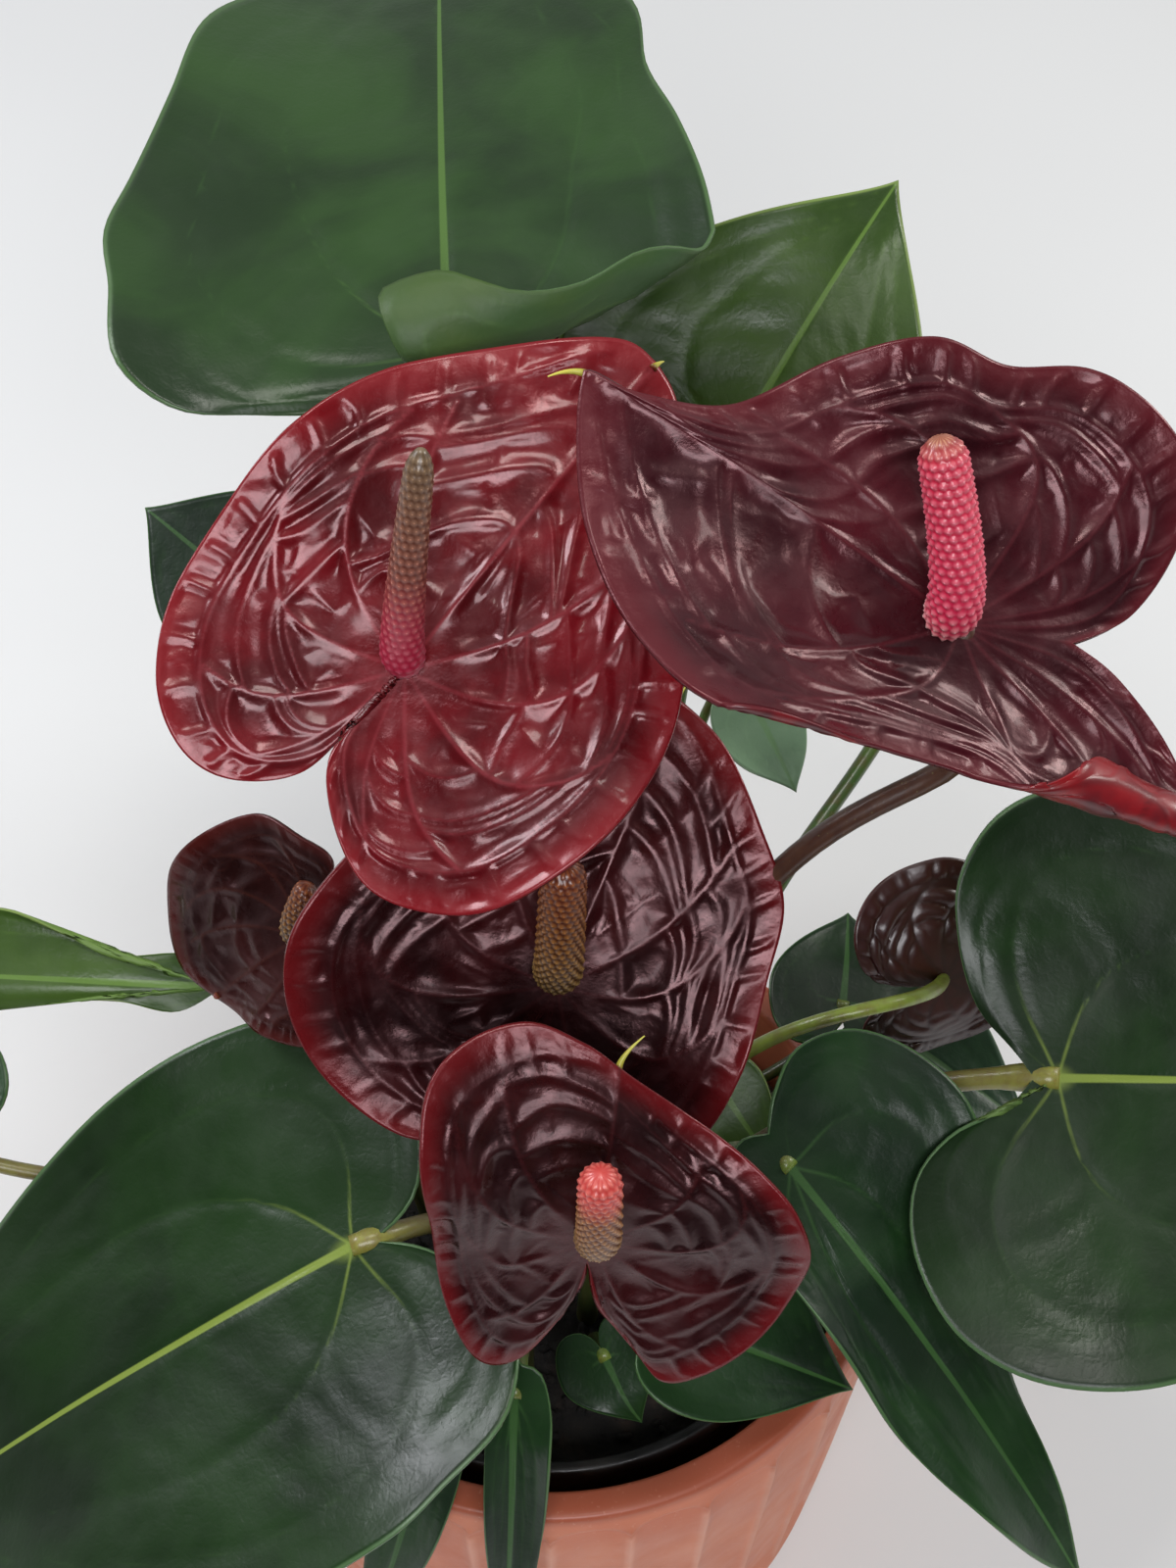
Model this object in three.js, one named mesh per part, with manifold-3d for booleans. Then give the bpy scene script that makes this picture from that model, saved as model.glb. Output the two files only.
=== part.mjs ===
// Potted flamingo flower: dark red spathes and heart-shaped leaves in a fluted terracotta-coloured planter.
// Millimetres, +Z up. The origin is the centre of the planter's flat underside; the plant's front faces -Y.

import * as THREE from 'three';
import { mergeVertices } from 'three/addons/utils/BufferGeometryUtils.js';
import Module from 'manifold-3d';

const wasm = await Module();
wasm.setup();

// Planter: a slightly tapered cup, fluted from just under its rim to its foot.
const planterHeight = 130;
const planterRimRadius = 78;
const planterShoulder = { z: 112, radius: 80 };
const planterBaseRadius = 71.5;
const planterLip = 7;
const planterFloor = 6;
const planterBandHeight = 5;
const fluteArch = 5;
const fluteCount = 28;
const fluteDepth = 1.8;
const fluteSteps = 4;

// Nursery pot: the thin black pot that stands inside the planter.
const nurseryHeight = 120;
const nurseryRimRadius = 64;
const nurseryBaseRadius = 47;
const nurseryWall = 1.6;

// Soil: fills the nursery pot to a little under its rim.
const soilTop = 108;
const soilBottom = 9;
const stemFoot = soilTop - 6;

// Clearance between pieces that touch, and the room that a soil hole leaves round its stem.
const clearance = 0.3;
const holeClearance = 1.4;

const leafThickness = 1;
const spatheThickness = 1.1;

// Round its junction a blade stays flat and plain as far as this, where its stalk and spadix meet it.
const seatRadius = 6;

// A spadix leaves its spathe upright over this share of its length, and rounds off over its last stretch.
const spadixKnee = 0.2;
const spadixRounding = 0.14;

// Sides of a stalk and steps along it.
const stalkSides = 5;
const stalkSteps = 7;

const finish = (color, roughness) => new THREE.MeshStandardMaterial({ color, roughness, metalness: 0 });

const planterFinish = finish(0xb86c55, 0.45);
const nurseryFinish = finish(0x141414, 0.5);
const soilFinish = finish(0x1d1713, 0.95);
const leafFinish = finish(0x24421f, 0.35);
const paleLeafFinish = finish(0x3c6a2a, 0.4);

const point = ([x, y, z]) => new THREE.Vector3(x, y, z);

function mesh(name, geometry, material) {
  geometry.computeVertexNormals();
  const part = new THREE.Mesh(geometry, material);
  part.name = name;
  return part;
}

// Joins doubled corners so that a geometry is one closed skin.
function closed(geometry) {
  geometry.deleteAttribute('normal');
  geometry.deleteAttribute('uv');
  return mergeVertices(geometry, 1e-4);
}

function solid(geometry) {
  const skin = closed(geometry);
  return new wasm.Manifold(new wasm.Mesh({
    numProp: 3,
    vertProperties: new Float32Array(skin.attributes.position.array),
    triVerts: new Uint32Array(skin.index.array),
  }));
}

function geometryOf(manifold) {
  const { numProp, vertProperties, triVerts } = manifold.getMesh();
  const corners = vertProperties.length / numProp;
  const places = new Float32Array(corners * 3);
  for (let i = 0; i < corners; i += 1) {
    for (let axis = 0; axis < 3; axis += 1) places[3 * i + axis] = vertProperties[numProp * i + axis];
  }
  const geometry = new THREE.BufferGeometry();
  geometry.setAttribute('position', new THREE.BufferAttribute(places, 3));
  geometry.setIndex(Array.from(triVerts));
  return geometry;
}

// A turned solid from its profile of [radius, height] corners.
function turned(profile, sides) {
  const lathe = new THREE.LatheGeometry(profile.map(([r, z]) => new THREE.Vector2(r, z)), sides);
  lathe.rotateX(Math.PI / 2);
  return lathe;
}

// Outline round the junction: notch, right lobe, tip, left lobe and back to the notch. A blade of an
// uneven shape states the corners between its notch and its tip, and any other blade is an even heart.
function heartOutline(blade) {
  const { length, notch, spokes, outline } = blade;
  if (outline) {
    const side = (corners) => {
      const stops = [outline.notch, ...corners, [length, 0]].map(([x, y]) => new THREE.Vector2(x, y));
      return new THREE.SplineCurve(stops).getSpacedPoints(spokes / 2);
    };
    return [...side(outline.right), ...side(outline.left).reverse().slice(1, -1)];
  }
  const side = (half, lobe, full, sign) => {
    const corner = (x, y) => new THREE.Vector2(x, sign * y);
    const path = new THREE.CurvePath();
    const foot = corner(-notch, 0);
    const heel = corner(-lobe, 0.5 * half);
    const flank = corner(0.08 * length, half);
    const tip = corner(length, 0);
    path.add(new THREE.CubicBezierCurve(
      foot, corner(-notch - 0.45 * (lobe - notch), 0.02 * half), corner(-lobe, 0.14 * half), heel,
    ));
    path.add(new THREE.CubicBezierCurve(
      heel, corner(-lobe, 0.82 * half), corner(0.08 * length - 0.6 * lobe, half), flank,
    ));
    path.add(new THREE.CubicBezierCurve(
      flank, corner((0.48 + 0.2 * full) * length, half),
      corner((0.8 + 0.15 * full) * length, (0.2 + 0.35 * full) * half), tip,
    ));
    return path.getSpacedPoints(spokes / 2);
  };
  const right = side(blade.right, blade.lobeRight ?? blade.lobe, blade.fullRight ?? blade.full, -1);
  const left = side(blade.left, blade.lobe, blade.fullLeft ?? blade.full, 1);
  return [...right, ...left.reverse().slice(1, -1)];
}

// Rises from 0 on the flat seat round the junction to 1 beyond it.
function clearOfSeat(x, y) {
  return THREE.MathUtils.smoothstep(Math.hypot(x, y), seatRadius, 3 * seatRadius);
}

// Height of a blade over its own plane at x, y; v runs 0 to 1 from the junction to the edge and
// turn runs 0 to 1 once round the outline.
function bladeHeight(blade, x, y, v, turn) {
  const { length, arch, back, waves, wave, phase } = blade;
  const along = x / length;
  const half = y < 0 ? blade.right : blade.left;
  const fold = y < 0 ? blade.foldRight : blade.foldLeft;
  const bow = along > 0 ? -arch * length * along ** 2 : back * length * along ** 2;
  const cup = fold * half * (y / half) ** 2 * (1 - blade.relax * Math.max(0, along));
  const twist = blade.twist * x * y / length;
  const edge = wave * v ** 3 * Math.sin(2 * Math.PI * waves * turn + phase);
  return (bow + cup + twist + edge) * clearOfSeat(x, y);
}

// Curls what lies beyond a line up and over, as on a curled lobe. The line lies at a distance from the
// junction in the stated direction, in degrees from the tip's, and the curl is a part of a cylinder.
function rolled(blade, place) {
  if (!blade.roll) return place;
  const { towards, start, radius } = blade.roll;
  const direction = THREE.MathUtils.degToRad(towards);
  const out = new THREE.Vector3(Math.cos(direction), Math.sin(direction), 0);
  const beyond = place.dot(out) - start;
  if (beyond <= 0) return place;
  const bend = beyond / radius;
  const height = place.z;
  return place.addScaledVector(out, (radius - height) * Math.sin(bend) - beyond)
    .setZ(radius - (radius - height) * Math.cos(bend));
}

// Raised net of a spathe: radiating veins with sunken cells between them and a vein inside the edge.
function netRelief(blade, ring, spoke) {
  const { rings, spokes, relief } = blade;
  if (ring < 1 || ring >= rings.length - 1) return 0;
  if (ring === rings.length - 2) return 0.5 * relief;
  const vein = (spoke + ring) % 2 === 0 || spoke === spokes / 2;
  return vein ? relief : -0.5 * relief;
}

// Low relief of a leaf: midrib and side veins a little sunk, panels between them a little raised.
function ribRelief(blade, ring, spoke) {
  const { rings, spokes, relief } = blade;
  if (ring < 1 || ring >= rings.length - 1) return 0;
  return spoke === spokes / 2 || spoke % 3 === 0 ? -relief : 0.4 * relief;
}

const leafForm = {
  arch: 0.18, back: 0.1, foldLeft: 0.12, foldRight: 0.12, relax: 0, twist: 0, bend: 0, full: 0,
  wave: 2.2, waves: 5, thickness: leafThickness, stalk: 1.9,
  rings: [0.16, 0.5, 0.8, 1], spokes: 18, relief: 0.5, veins: ribRelief,
};
const smallLeafForm = { ...leafForm, wave: 1.2, waves: 3, rings: [0.2, 0.62, 1], spokes: 14, stalk: 1.5 };
const spatheForm = {
  arch: 0.12, back: 0.12, foldLeft: 0.14, foldRight: 0.14, relax: 0, twist: 0, bend: 0, full: 0,
  wave: 1.8, waves: 6, thickness: spatheThickness, stalk: 2.1,
  rings: [0.14, 0.34, 0.58, 0.8, 0.91, 1], spokes: 32, relief: 0.9, veins: netRelief,
};

const smallSpatheForm = { ...spatheForm, wave: 1, rings: [0.18, 0.42, 0.7, 0.88, 1], spokes: 24, stalk: 1.7 };

// Fills in a blade's own frame: X to the tip, Z out of the upper face, the tip on its stated point.
function placed(form, given) {
  const blade = { ...form, ...given };
  const at = point(blade.at);
  const chord = point(blade.tip).sub(at);
  const reach = chord.length();
  const ahead = chord.clone().normalize();
  const aside = point(blade.facing).cross(ahead).normalize();
  const upright = ahead.clone().cross(aside);
  const pitch = Math.atan(blade.arch);
  blade.length = reach * Math.cos(pitch);
  blade.notch = blade.notch ?? 0.1 * blade.length;
  const forward = ahead.clone().multiplyScalar(Math.cos(pitch)).addScaledVector(upright, Math.sin(pitch));
  const normal = upright.multiplyScalar(Math.cos(pitch)).addScaledVector(ahead, -Math.sin(pitch));
  blade.forward = forward;
  blade.normal = normal;
  blade.frame = new THREE.Matrix4().makeBasis(forward, aside, normal).setPosition(at);
  return blade;
}

// Closed skin of a blade in its own frame: an upper net of rings and spokes, the same net one
// thickness lower, and a rim between them.
function bladeGeometry(blade) {
  const outline = heartOutline(blade);
  const { rings, spokes, length } = blade;
  const upper = [new THREE.Vector3()];
  rings.forEach((v, ring) => {
    outline.forEach((corner, spoke) => {
      const x = corner.x * v;
      const y = corner.y * v;
      const relief = blade.veins(blade, ring, spoke) * clearOfSeat(x, y);
      const z = bladeHeight(blade, x, y, v, spoke / spokes) + relief;
      upper.push(rolled(blade, new THREE.Vector3(x, y + blade.bend * length * (x / length) ** 2, z)));
    });
  });
  const faces = [];
  const at = (ring, spoke) => 1 + ring * spokes + (spoke % spokes);
  for (let spoke = 0; spoke < spokes; spoke += 1) {
    faces.push([0, at(0, spoke), at(0, spoke + 1)]);
    for (let ring = 0; ring < rings.length - 1; ring += 1) {
      const [a, b] = [at(ring, spoke), at(ring, spoke + 1)];
      const [c, d] = [at(ring + 1, spoke), at(ring + 1, spoke + 1)];
      if ((spoke + ring) % 2) faces.push([a, c, d], [a, d, b]);
      else faces.push([a, c, b], [b, c, d]);
    }
  }
  const normals = upper.map(() => new THREE.Vector3());
  faces.forEach(([a, b, c]) => {
    const ab = upper[b].clone().sub(upper[a]);
    const normal = ab.cross(upper[c].clone().sub(upper[a]));
    [a, b, c].forEach((corner) => normals[corner].add(normal));
  });
  const lower = upper.map((p, i) => p.clone().addScaledVector(normals[i].normalize(), -blade.thickness));
  const count = upper.length;
  const last = rings.length - 1;
  const skin = faces.flat();
  faces.forEach(([a, b, c]) => skin.push(a + count, c + count, b + count));
  for (let spoke = 0; spoke < spokes; spoke += 1) {
    const [a, b] = [at(last, spoke), at(last, spoke + 1)];
    skin.push(a, a + count, b + count, a, b + count, b);
  }
  const geometry = new THREE.BufferGeometry();
  const places = [...upper, ...lower].flatMap((p) => [p.x, p.y, p.z]);
  geometry.setAttribute('position', new THREE.Float32BufferAttribute(places, 3));
  geometry.setIndex(skin);
  return geometry;
}

// A round stem along a curve, closed at both ends.
function stem(curve, radius) {
  const section = new THREE.Shape();
  for (let i = 0; i < stalkSides; i += 1) {
    const turn = 2 * Math.PI * i / stalkSides;
    const [x, y] = [radius * Math.cos(turn), radius * Math.sin(turn)];
    if (i) section.lineTo(x, y);
    else section.moveTo(x, y);
  }
  return new THREE.ExtrudeGeometry(section, { steps: stalkSteps, extrudePath: curve, curveSegments: 1 });
}

// Path of a stem from its foot in the soil to its end, which it reaches along the arrival direction.
function stemPath(root, end, arrival, rise = 0.5, hook = 0.3) {
  const foot = new THREE.Vector3(root[0], root[1], stemFoot);
  const reach = foot.distanceTo(end);
  const above = foot.clone().add(new THREE.Vector3(0, 0, rise * reach));
  const before = end.clone().addScaledVector(arrival, -hook * reach);
  return new THREE.CubicBezierCurve3(foot, above, before, end);
}

// One leaf: its heart-shaped blade and its stalk, grown together.
function leaf(given) {
  const blade = placed(given.small ? smallLeafForm : leafForm, given);
  const usual = blade.normal.clone().multiplyScalar(0.75).addScaledVector(blade.forward, 0.66);
  const arrival = (blade.arrive ? point(blade.arrive) : usual).normalize();
  const end = point(blade.at).addScaledVector(arrival, 0.8);
  const path = stemPath(blade.root, end, arrival, blade.rise, blade.hook);
  const stalk = stem(path, blade.stalk);
  const heart = bladeGeometry(blade).applyMatrix4(blade.frame);
  const grown = solid(heart).add(solid(stalk));
  return mesh(blade.name, geometryOf(grown), blade.pale ? paleLeafFinish : leafFinish);
}

// Spadix: a tapering finger that leaves the spathe upright and bends towards its tip, set all over
// with knob-like florets in staggered rows.
function spadixGeometry(finger) {
  const { base, tip, knobs, rows, knob, end, knee: bend = spadixKnee, foot = [0, 0] } = finger;
  const start = new THREE.Vector3(...foot, clearance);
  const knee = new THREE.Vector3(...foot, clearance + bend * end.length());
  const spine = new THREE.QuadraticBezierCurve3(start, knee, end);
  const places = [start];
  for (let row = 0; row < rows; row += 1) {
    const share = row / rows;
    const centre = spine.getPoint(share);
    const along = spine.getTangent(share);
    const side = new THREE.Vector3(0, 1, 0).cross(along).normalize();
    const up = along.clone().cross(side);
    const rounding = Math.sqrt(1 - Math.max(0, (share - 1) / spadixRounding + 1) ** 2);
    const radius = (base + (tip - base) * share) * rounding;
    for (let i = 0; i < knobs; i += 1) {
      const turn = 2 * Math.PI * i / knobs;
      const out = row > 0 && (i + row) % 2 ? radius + knob : radius;
      places.push(centre.clone()
        .addScaledVector(side, out * Math.cos(turn))
        .addScaledVector(up, out * Math.sin(turn)));
    }
  }
  const peak = places.length;
  places.push(end);
  const at = (row, i) => 1 + row * knobs + (i % knobs);
  const skin = [];
  for (let i = 0; i < knobs; i += 1) {
    skin.push(0, at(0, i + 1), at(0, i));
    for (let row = 0; row < rows - 1; row += 1) {
      const [a, b] = [at(row, i), at(row, i + 1)];
      const [c, d] = [at(row + 1, i), at(row + 1, i + 1)];
      if ((i + row) % 2) skin.push(a, d, c, a, b, d);
      else skin.push(a, b, c, b, d, c);
    }
    skin.push(at(rows - 1, i), at(rows - 1, i + 1), peak);
  }
  const geometry = new THREE.BufferGeometry();
  const corners = places.flatMap((p) => [p.x, p.y, p.z]);
  geometry.setAttribute('position', new THREE.Float32BufferAttribute(corners, 3));
  geometry.setIndex(skin);
  return geometry;
}

// One flower: a spathe and its spadix in the blade's frame, and the peduncle that carries them.
function flower(given) {
  const blade = placed(given.small ? smallSpatheForm : spatheForm, given);
  const head = new THREE.Group();
  head.position.copy(point(blade.at));
  head.quaternion.setFromRotationMatrix(blade.frame);
  head.add(mesh(`spathe_${blade.name}`, bladeGeometry(blade), finish(blade.color, 0.25)));
  const { spadix } = blade;
  const end = point(spadix.end).applyMatrix4(blade.frame.clone().invert());
  head.add(mesh(`spadix_${blade.name}`, spadixGeometry({ ...spadix, end }), finish(spadix.color, 0.5)));
  const arrival = (blade.arrive ? point(blade.arrive) : blade.normal.clone()).normalize();
  const slant = arrival.angleTo(blade.normal);
  const under = (spatheThickness + clearance) / Math.cos(slant) + blade.stalk * Math.tan(slant);
  const seat = point(blade.at).addScaledVector(arrival, -under);
  const path = stemPath(blade.root, seat, arrival, blade.rise, blade.hook);
  const stalk = closed(stem(path, blade.stalk));
  const group = new THREE.Group();
  group.add(head, mesh(`peduncle_${blade.name}`, stalk, finish(blade.stalkColor, 0.5)));
  return group;
}

// Planter: the fluted outside, with an arched top to each flute, less the inside.
function planter() {
  const columns = fluteCount * fluteSteps;
  const fluteTop = planterHeight - planterBandHeight;
  const wall = (z) => {
    const { z: middle, radius } = planterShoulder;
    if (z < middle) return planterBaseRadius + (radius - planterBaseRadius) * (z / middle) ** 0.8;
    return radius + (planterRimRadius - radius) * ((z - middle) / (planterHeight - middle)) ** 2;
  };
  const levels = [0, 2.5, 60, fluteTop - fluteArch - 1, fluteTop - 1.5, planterHeight - 1, planterHeight];
  const places = [[0, 0, 0]];
  levels.forEach((z, level) => {
    for (let column = 0; column < columns; column += 1) {
      const turn = 2 * Math.PI * column / columns;
      const across = 2 * (column % fluteSteps) / fluteSteps - 1;
      const hollow = Math.sqrt(1 - across ** 2);
      const top = fluteTop - fluteArch * (1 - hollow);
      const depth = fluteDepth * hollow * THREE.MathUtils.clamp((top - z) / 3, 0, 1);
      const foot = level === 0 ? 2.2 : 0;
      const lip = z === planterHeight ? 1 : 0;
      const radius = wall(z) - depth - foot - lip;
      places.push([radius * Math.cos(turn), radius * Math.sin(turn), z]);
    }
  });
  const peak = places.length;
  places.push([0, 0, planterHeight]);
  const at = (level, column) => 1 + level * columns + (column % columns);
  const skin = [];
  for (let column = 0; column < columns; column += 1) {
    skin.push(0, at(0, column + 1), at(0, column));
    for (let level = 0; level < levels.length - 1; level += 1) {
      const [a, b] = [at(level, column), at(level, column + 1)];
      const [c, d] = [at(level + 1, column), at(level + 1, column + 1)];
      skin.push(a, b, d, a, d, c);
    }
    skin.push(at(levels.length - 1, column), at(levels.length - 1, column + 1), peak);
  }
  const outside = new THREE.BufferGeometry();
  outside.setAttribute('position', new THREE.Float32BufferAttribute(places.flat(), 3));
  outside.setIndex(skin);
  const mouth = planterRimRadius - planterLip;
  const inside = turned([
    [0, planterFloor], [planterBaseRadius - 8, planterFloor], [mouth - 0.5, planterHeight - 5],
    [mouth, planterHeight - 1.2], [mouth + 1.2, planterHeight + 1], [0, planterHeight + 1],
  ], 48);
  return mesh('planter', geometryOf(solid(outside).subtract(solid(inside))), planterFinish);
}

function nurseryPot() {
  const foot = planterFloor + clearance;
  const shell = turned([
    [0, foot], [nurseryBaseRadius, foot], [nurseryRimRadius - 2, nurseryHeight - 8],
    [nurseryRimRadius, nurseryHeight - 8], [nurseryRimRadius, nurseryHeight],
    [nurseryRimRadius - nurseryWall - 1.5, nurseryHeight],
    [nurseryRimRadius - nurseryWall - 2.5, nurseryHeight - 8],
    [nurseryBaseRadius - nurseryWall, foot + nurseryWall], [0, foot + nurseryWall],
  ], 32);
  return mesh('nursery_pot', closed(shell), nurseryFinish);
}

// Soil: a plug with a slightly heaped top and a plain hole for every stem.
function soil(stems) {
  const fit = (z) => {
    const foot = planterFloor + clearance;
    const share = (z - foot) / (nurseryHeight - 8 - foot);
    return nurseryBaseRadius + (nurseryRimRadius - 2.5 - nurseryBaseRadius) * share - nurseryWall - 1.4;
  };
  let plug = solid(turned([
    [0, soilBottom], [fit(soilBottom), soilBottom], [fit(soilTop - 3), soilTop - 3],
    [fit(soilTop) - 9, soilTop], [0, soilTop],
  ], 24));
  stems.forEach(({ root, stalk }) => {
    const hole = new THREE.CylinderGeometry(stalk + holeClearance, stalk + holeClearance, 24, 6);
    hole.rotateX(Math.PI / 2);
    hole.translate(root[0], root[1], stemFoot - clearance + 12);
    plug = plug.subtract(solid(hole));
  });
  return mesh('soil', geometryOf(plug), soilFinish);
}

const maroon = 0x5a1218;
const darkMaroon = 0x2c0c10;
const brownPurple = 0x3a1218;
const greenStalk = 0x3f5a25;

// Flowers. Each has its junction, the spathe's tip, the way its face looks, the widths to each side
// and the lobes behind the junction, and the place where its stalk leaves the soil.
const flowers = [
  {
    name: 'upper_left', at: [-25, 16, 302], tip: [21, 66, 330], facing: [0, -0.5, 0.86], root: [-10, 6],
    left: 42, right: 44,
    outline: {
      notch: [-12, 1],
      right: [
        [-23, -1], [-33, -14], [-34, -25], [-26, -38], [-12, -45],
        [5, -48], [22, -45], [38, -35], [56, -19], [69, -8],
      ],
      left: [
        [-26, 3], [-35, 12], [-36, 22], [-29, 33], [-15, 41],
        [5, 43], [24, 42], [42, 36], [60, 21], [72, 8],
      ],
    },
    color: maroon, stalkColor: greenStalk,
    spadix: {
      foot: [1.7, 1.3], end: [-19.5, 24, 350], base: 3.9, tip: 2.1, knobs: 10, rows: 20, knob: 0.6,
      color: 0x8a2a3a,
    },
  },
  {
    name: 'upper_right', at: [73, 13, 318], tip: [7, 38, 354], facing: [0.05, -0.4, 0.92], root: [22, 6],
    left: 35, right: 46, foldLeft: 0.5, relax: 0.9, roll: { towards: 110, start: 26.4, radius: 8 },
    outline: {
      notch: [-20, -9],
      right: [
        [-28, -20], [-29, -33], [-23, -45], [-10, -51], [4, -51],
        [17, -43], [31, -39], [43, -27], [54, -10], [68, -2],
      ],
      left: [
        [-31, -8], [-48, -2], [-62, 9], [-60, 26], [-42, 29], [-19, 23],
        [5, 30], [34, 41], [50, 37], [65, 23], [75, 8],
      ],
    },
    arrive: [-0.32, -0.12, 0.94], rise: 1.05, hook: 0.47, stalk: 2.4,
    color: brownPurple, stalkColor: 0x5c2a22,
    spadix: {
      foot: [3, 0.2], end: [65.5, 19.5, 357], base: 4.6, tip: 3.6, knobs: 12, rows: 16, knob: 0.8,
      color: 0xc23a5a,
    },
  },
  {
    name: 'middle', at: [2, -6, 230], tip: [26, 37, 268], facing: [0.09, -0.7, 0.7], root: [-2, -6],
    left: 55, right: 44,
    outline: {
      notch: [-9, 0],
      right: [
        [-26, -5], [-34, -15], [-32, -27], [-20, -38], [-2, -40],
        [17, -38], [33, -35], [46, -24], [57, -12],
      ],
      left: [[-32, 6], [-39, 16], [-35, 34], [-24, 47], [-8, 53], [10, 49], [28, 39], [44, 24], [56, 9]],
    },
    color: darkMaroon, stalkColor: greenStalk,
    spadix: {
      foot: [3.5, 1.4], end: [3.7, -4.5, 271], base: 4.5, tip: 3.8, knobs: 12, rows: 14, knob: 0.8,
      color: 0x6e4a22,
    },
  },
  {
    name: 'front', at: [9, -55, 216], tip: [14, -34, 248], facing: [0.15, -0.75, 0.6], root: [8, -20],
    left: 36, right: 42, arch: 0.35, hook: 0.14,
    outline: {
      notch: [-6, 0],
      right: [
        [-20, -6], [-32, -15], [-36, -21], [-29, -29], [-15, -39],
        [1, -42], [14, -37], [21, -29], [28, -14],
      ],
      left: [[-22, 2], [-32, 9], [-30, 18], [-14, 27], [6, 32], [24, 36], [36, 34], [42, 19], [40, 7]],
    },
    color: darkMaroon, stalkColor: greenStalk,
    spadix: {
      foot: [4, 0], end: [10.4, -59, 252], base: 3.9, tip: 3.5, knobs: 12, rows: 10, knob: 0.8,
      color: 0xa0503c,
    },
  },
  {
    name: 'left_small', at: [-52, 17, 214], tip: [-73, 15, 192], facing: [-0.3, -0.5, 0.8], root: [-22, 8],
    left: 26, right: 34, color: brownPurple, stalkColor: greenStalk, small: true,
    outline: {
      notch: [-5, 0],
      right: [[-15, -9], [-11, -18], [-4, -27], [9, -30], [24, -28], [33, -20], [35, -10]],
      left: [[-8, 8], [-7, 16], [0, 22], [11, 21], [20, 14], [27, 5]],
    },
    spadix: {
      end: [-49, 19, 230], knee: 0.4, base: 2.6, tip: 2.2, knobs: 8, rows: 10, knob: 0.5, color: 0x6e4a22,
    },
  },
  {
    name: 'right_small', at: [88, 27, 181], tip: [118, 36, 181], facing: [0.1, 0.8, -0.45], root: [26, 12],
    left: 18, right: 28, lobe: 20, arrive: [0.23, 0.71, -0.67], rise: 1, hook: 0.4, stalk: 1.6, small: true,
    color: 0x4a1a18, stalkColor: 0x8a9a3a,
    spadix: { end: [92, 47, 170], base: 2.6, tip: 2.2, knobs: 8, rows: 10, knob: 0.5, color: 0x6e4a22 },
  },
  {
    name: 'rear', at: [20, 145, 248], tip: [0, 168, 262], facing: [0.1, -0.45, 0.88], root: [6, 26],
    left: 24, right: 24, lobe: 20, color: darkMaroon, stalkColor: greenStalk, small: true,
    spadix: { end: [19, 143, 268], base: 3, tip: 2.4, knobs: 8, rows: 10, knob: 0.6, color: 0xc23a5a },
  },
];

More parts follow.
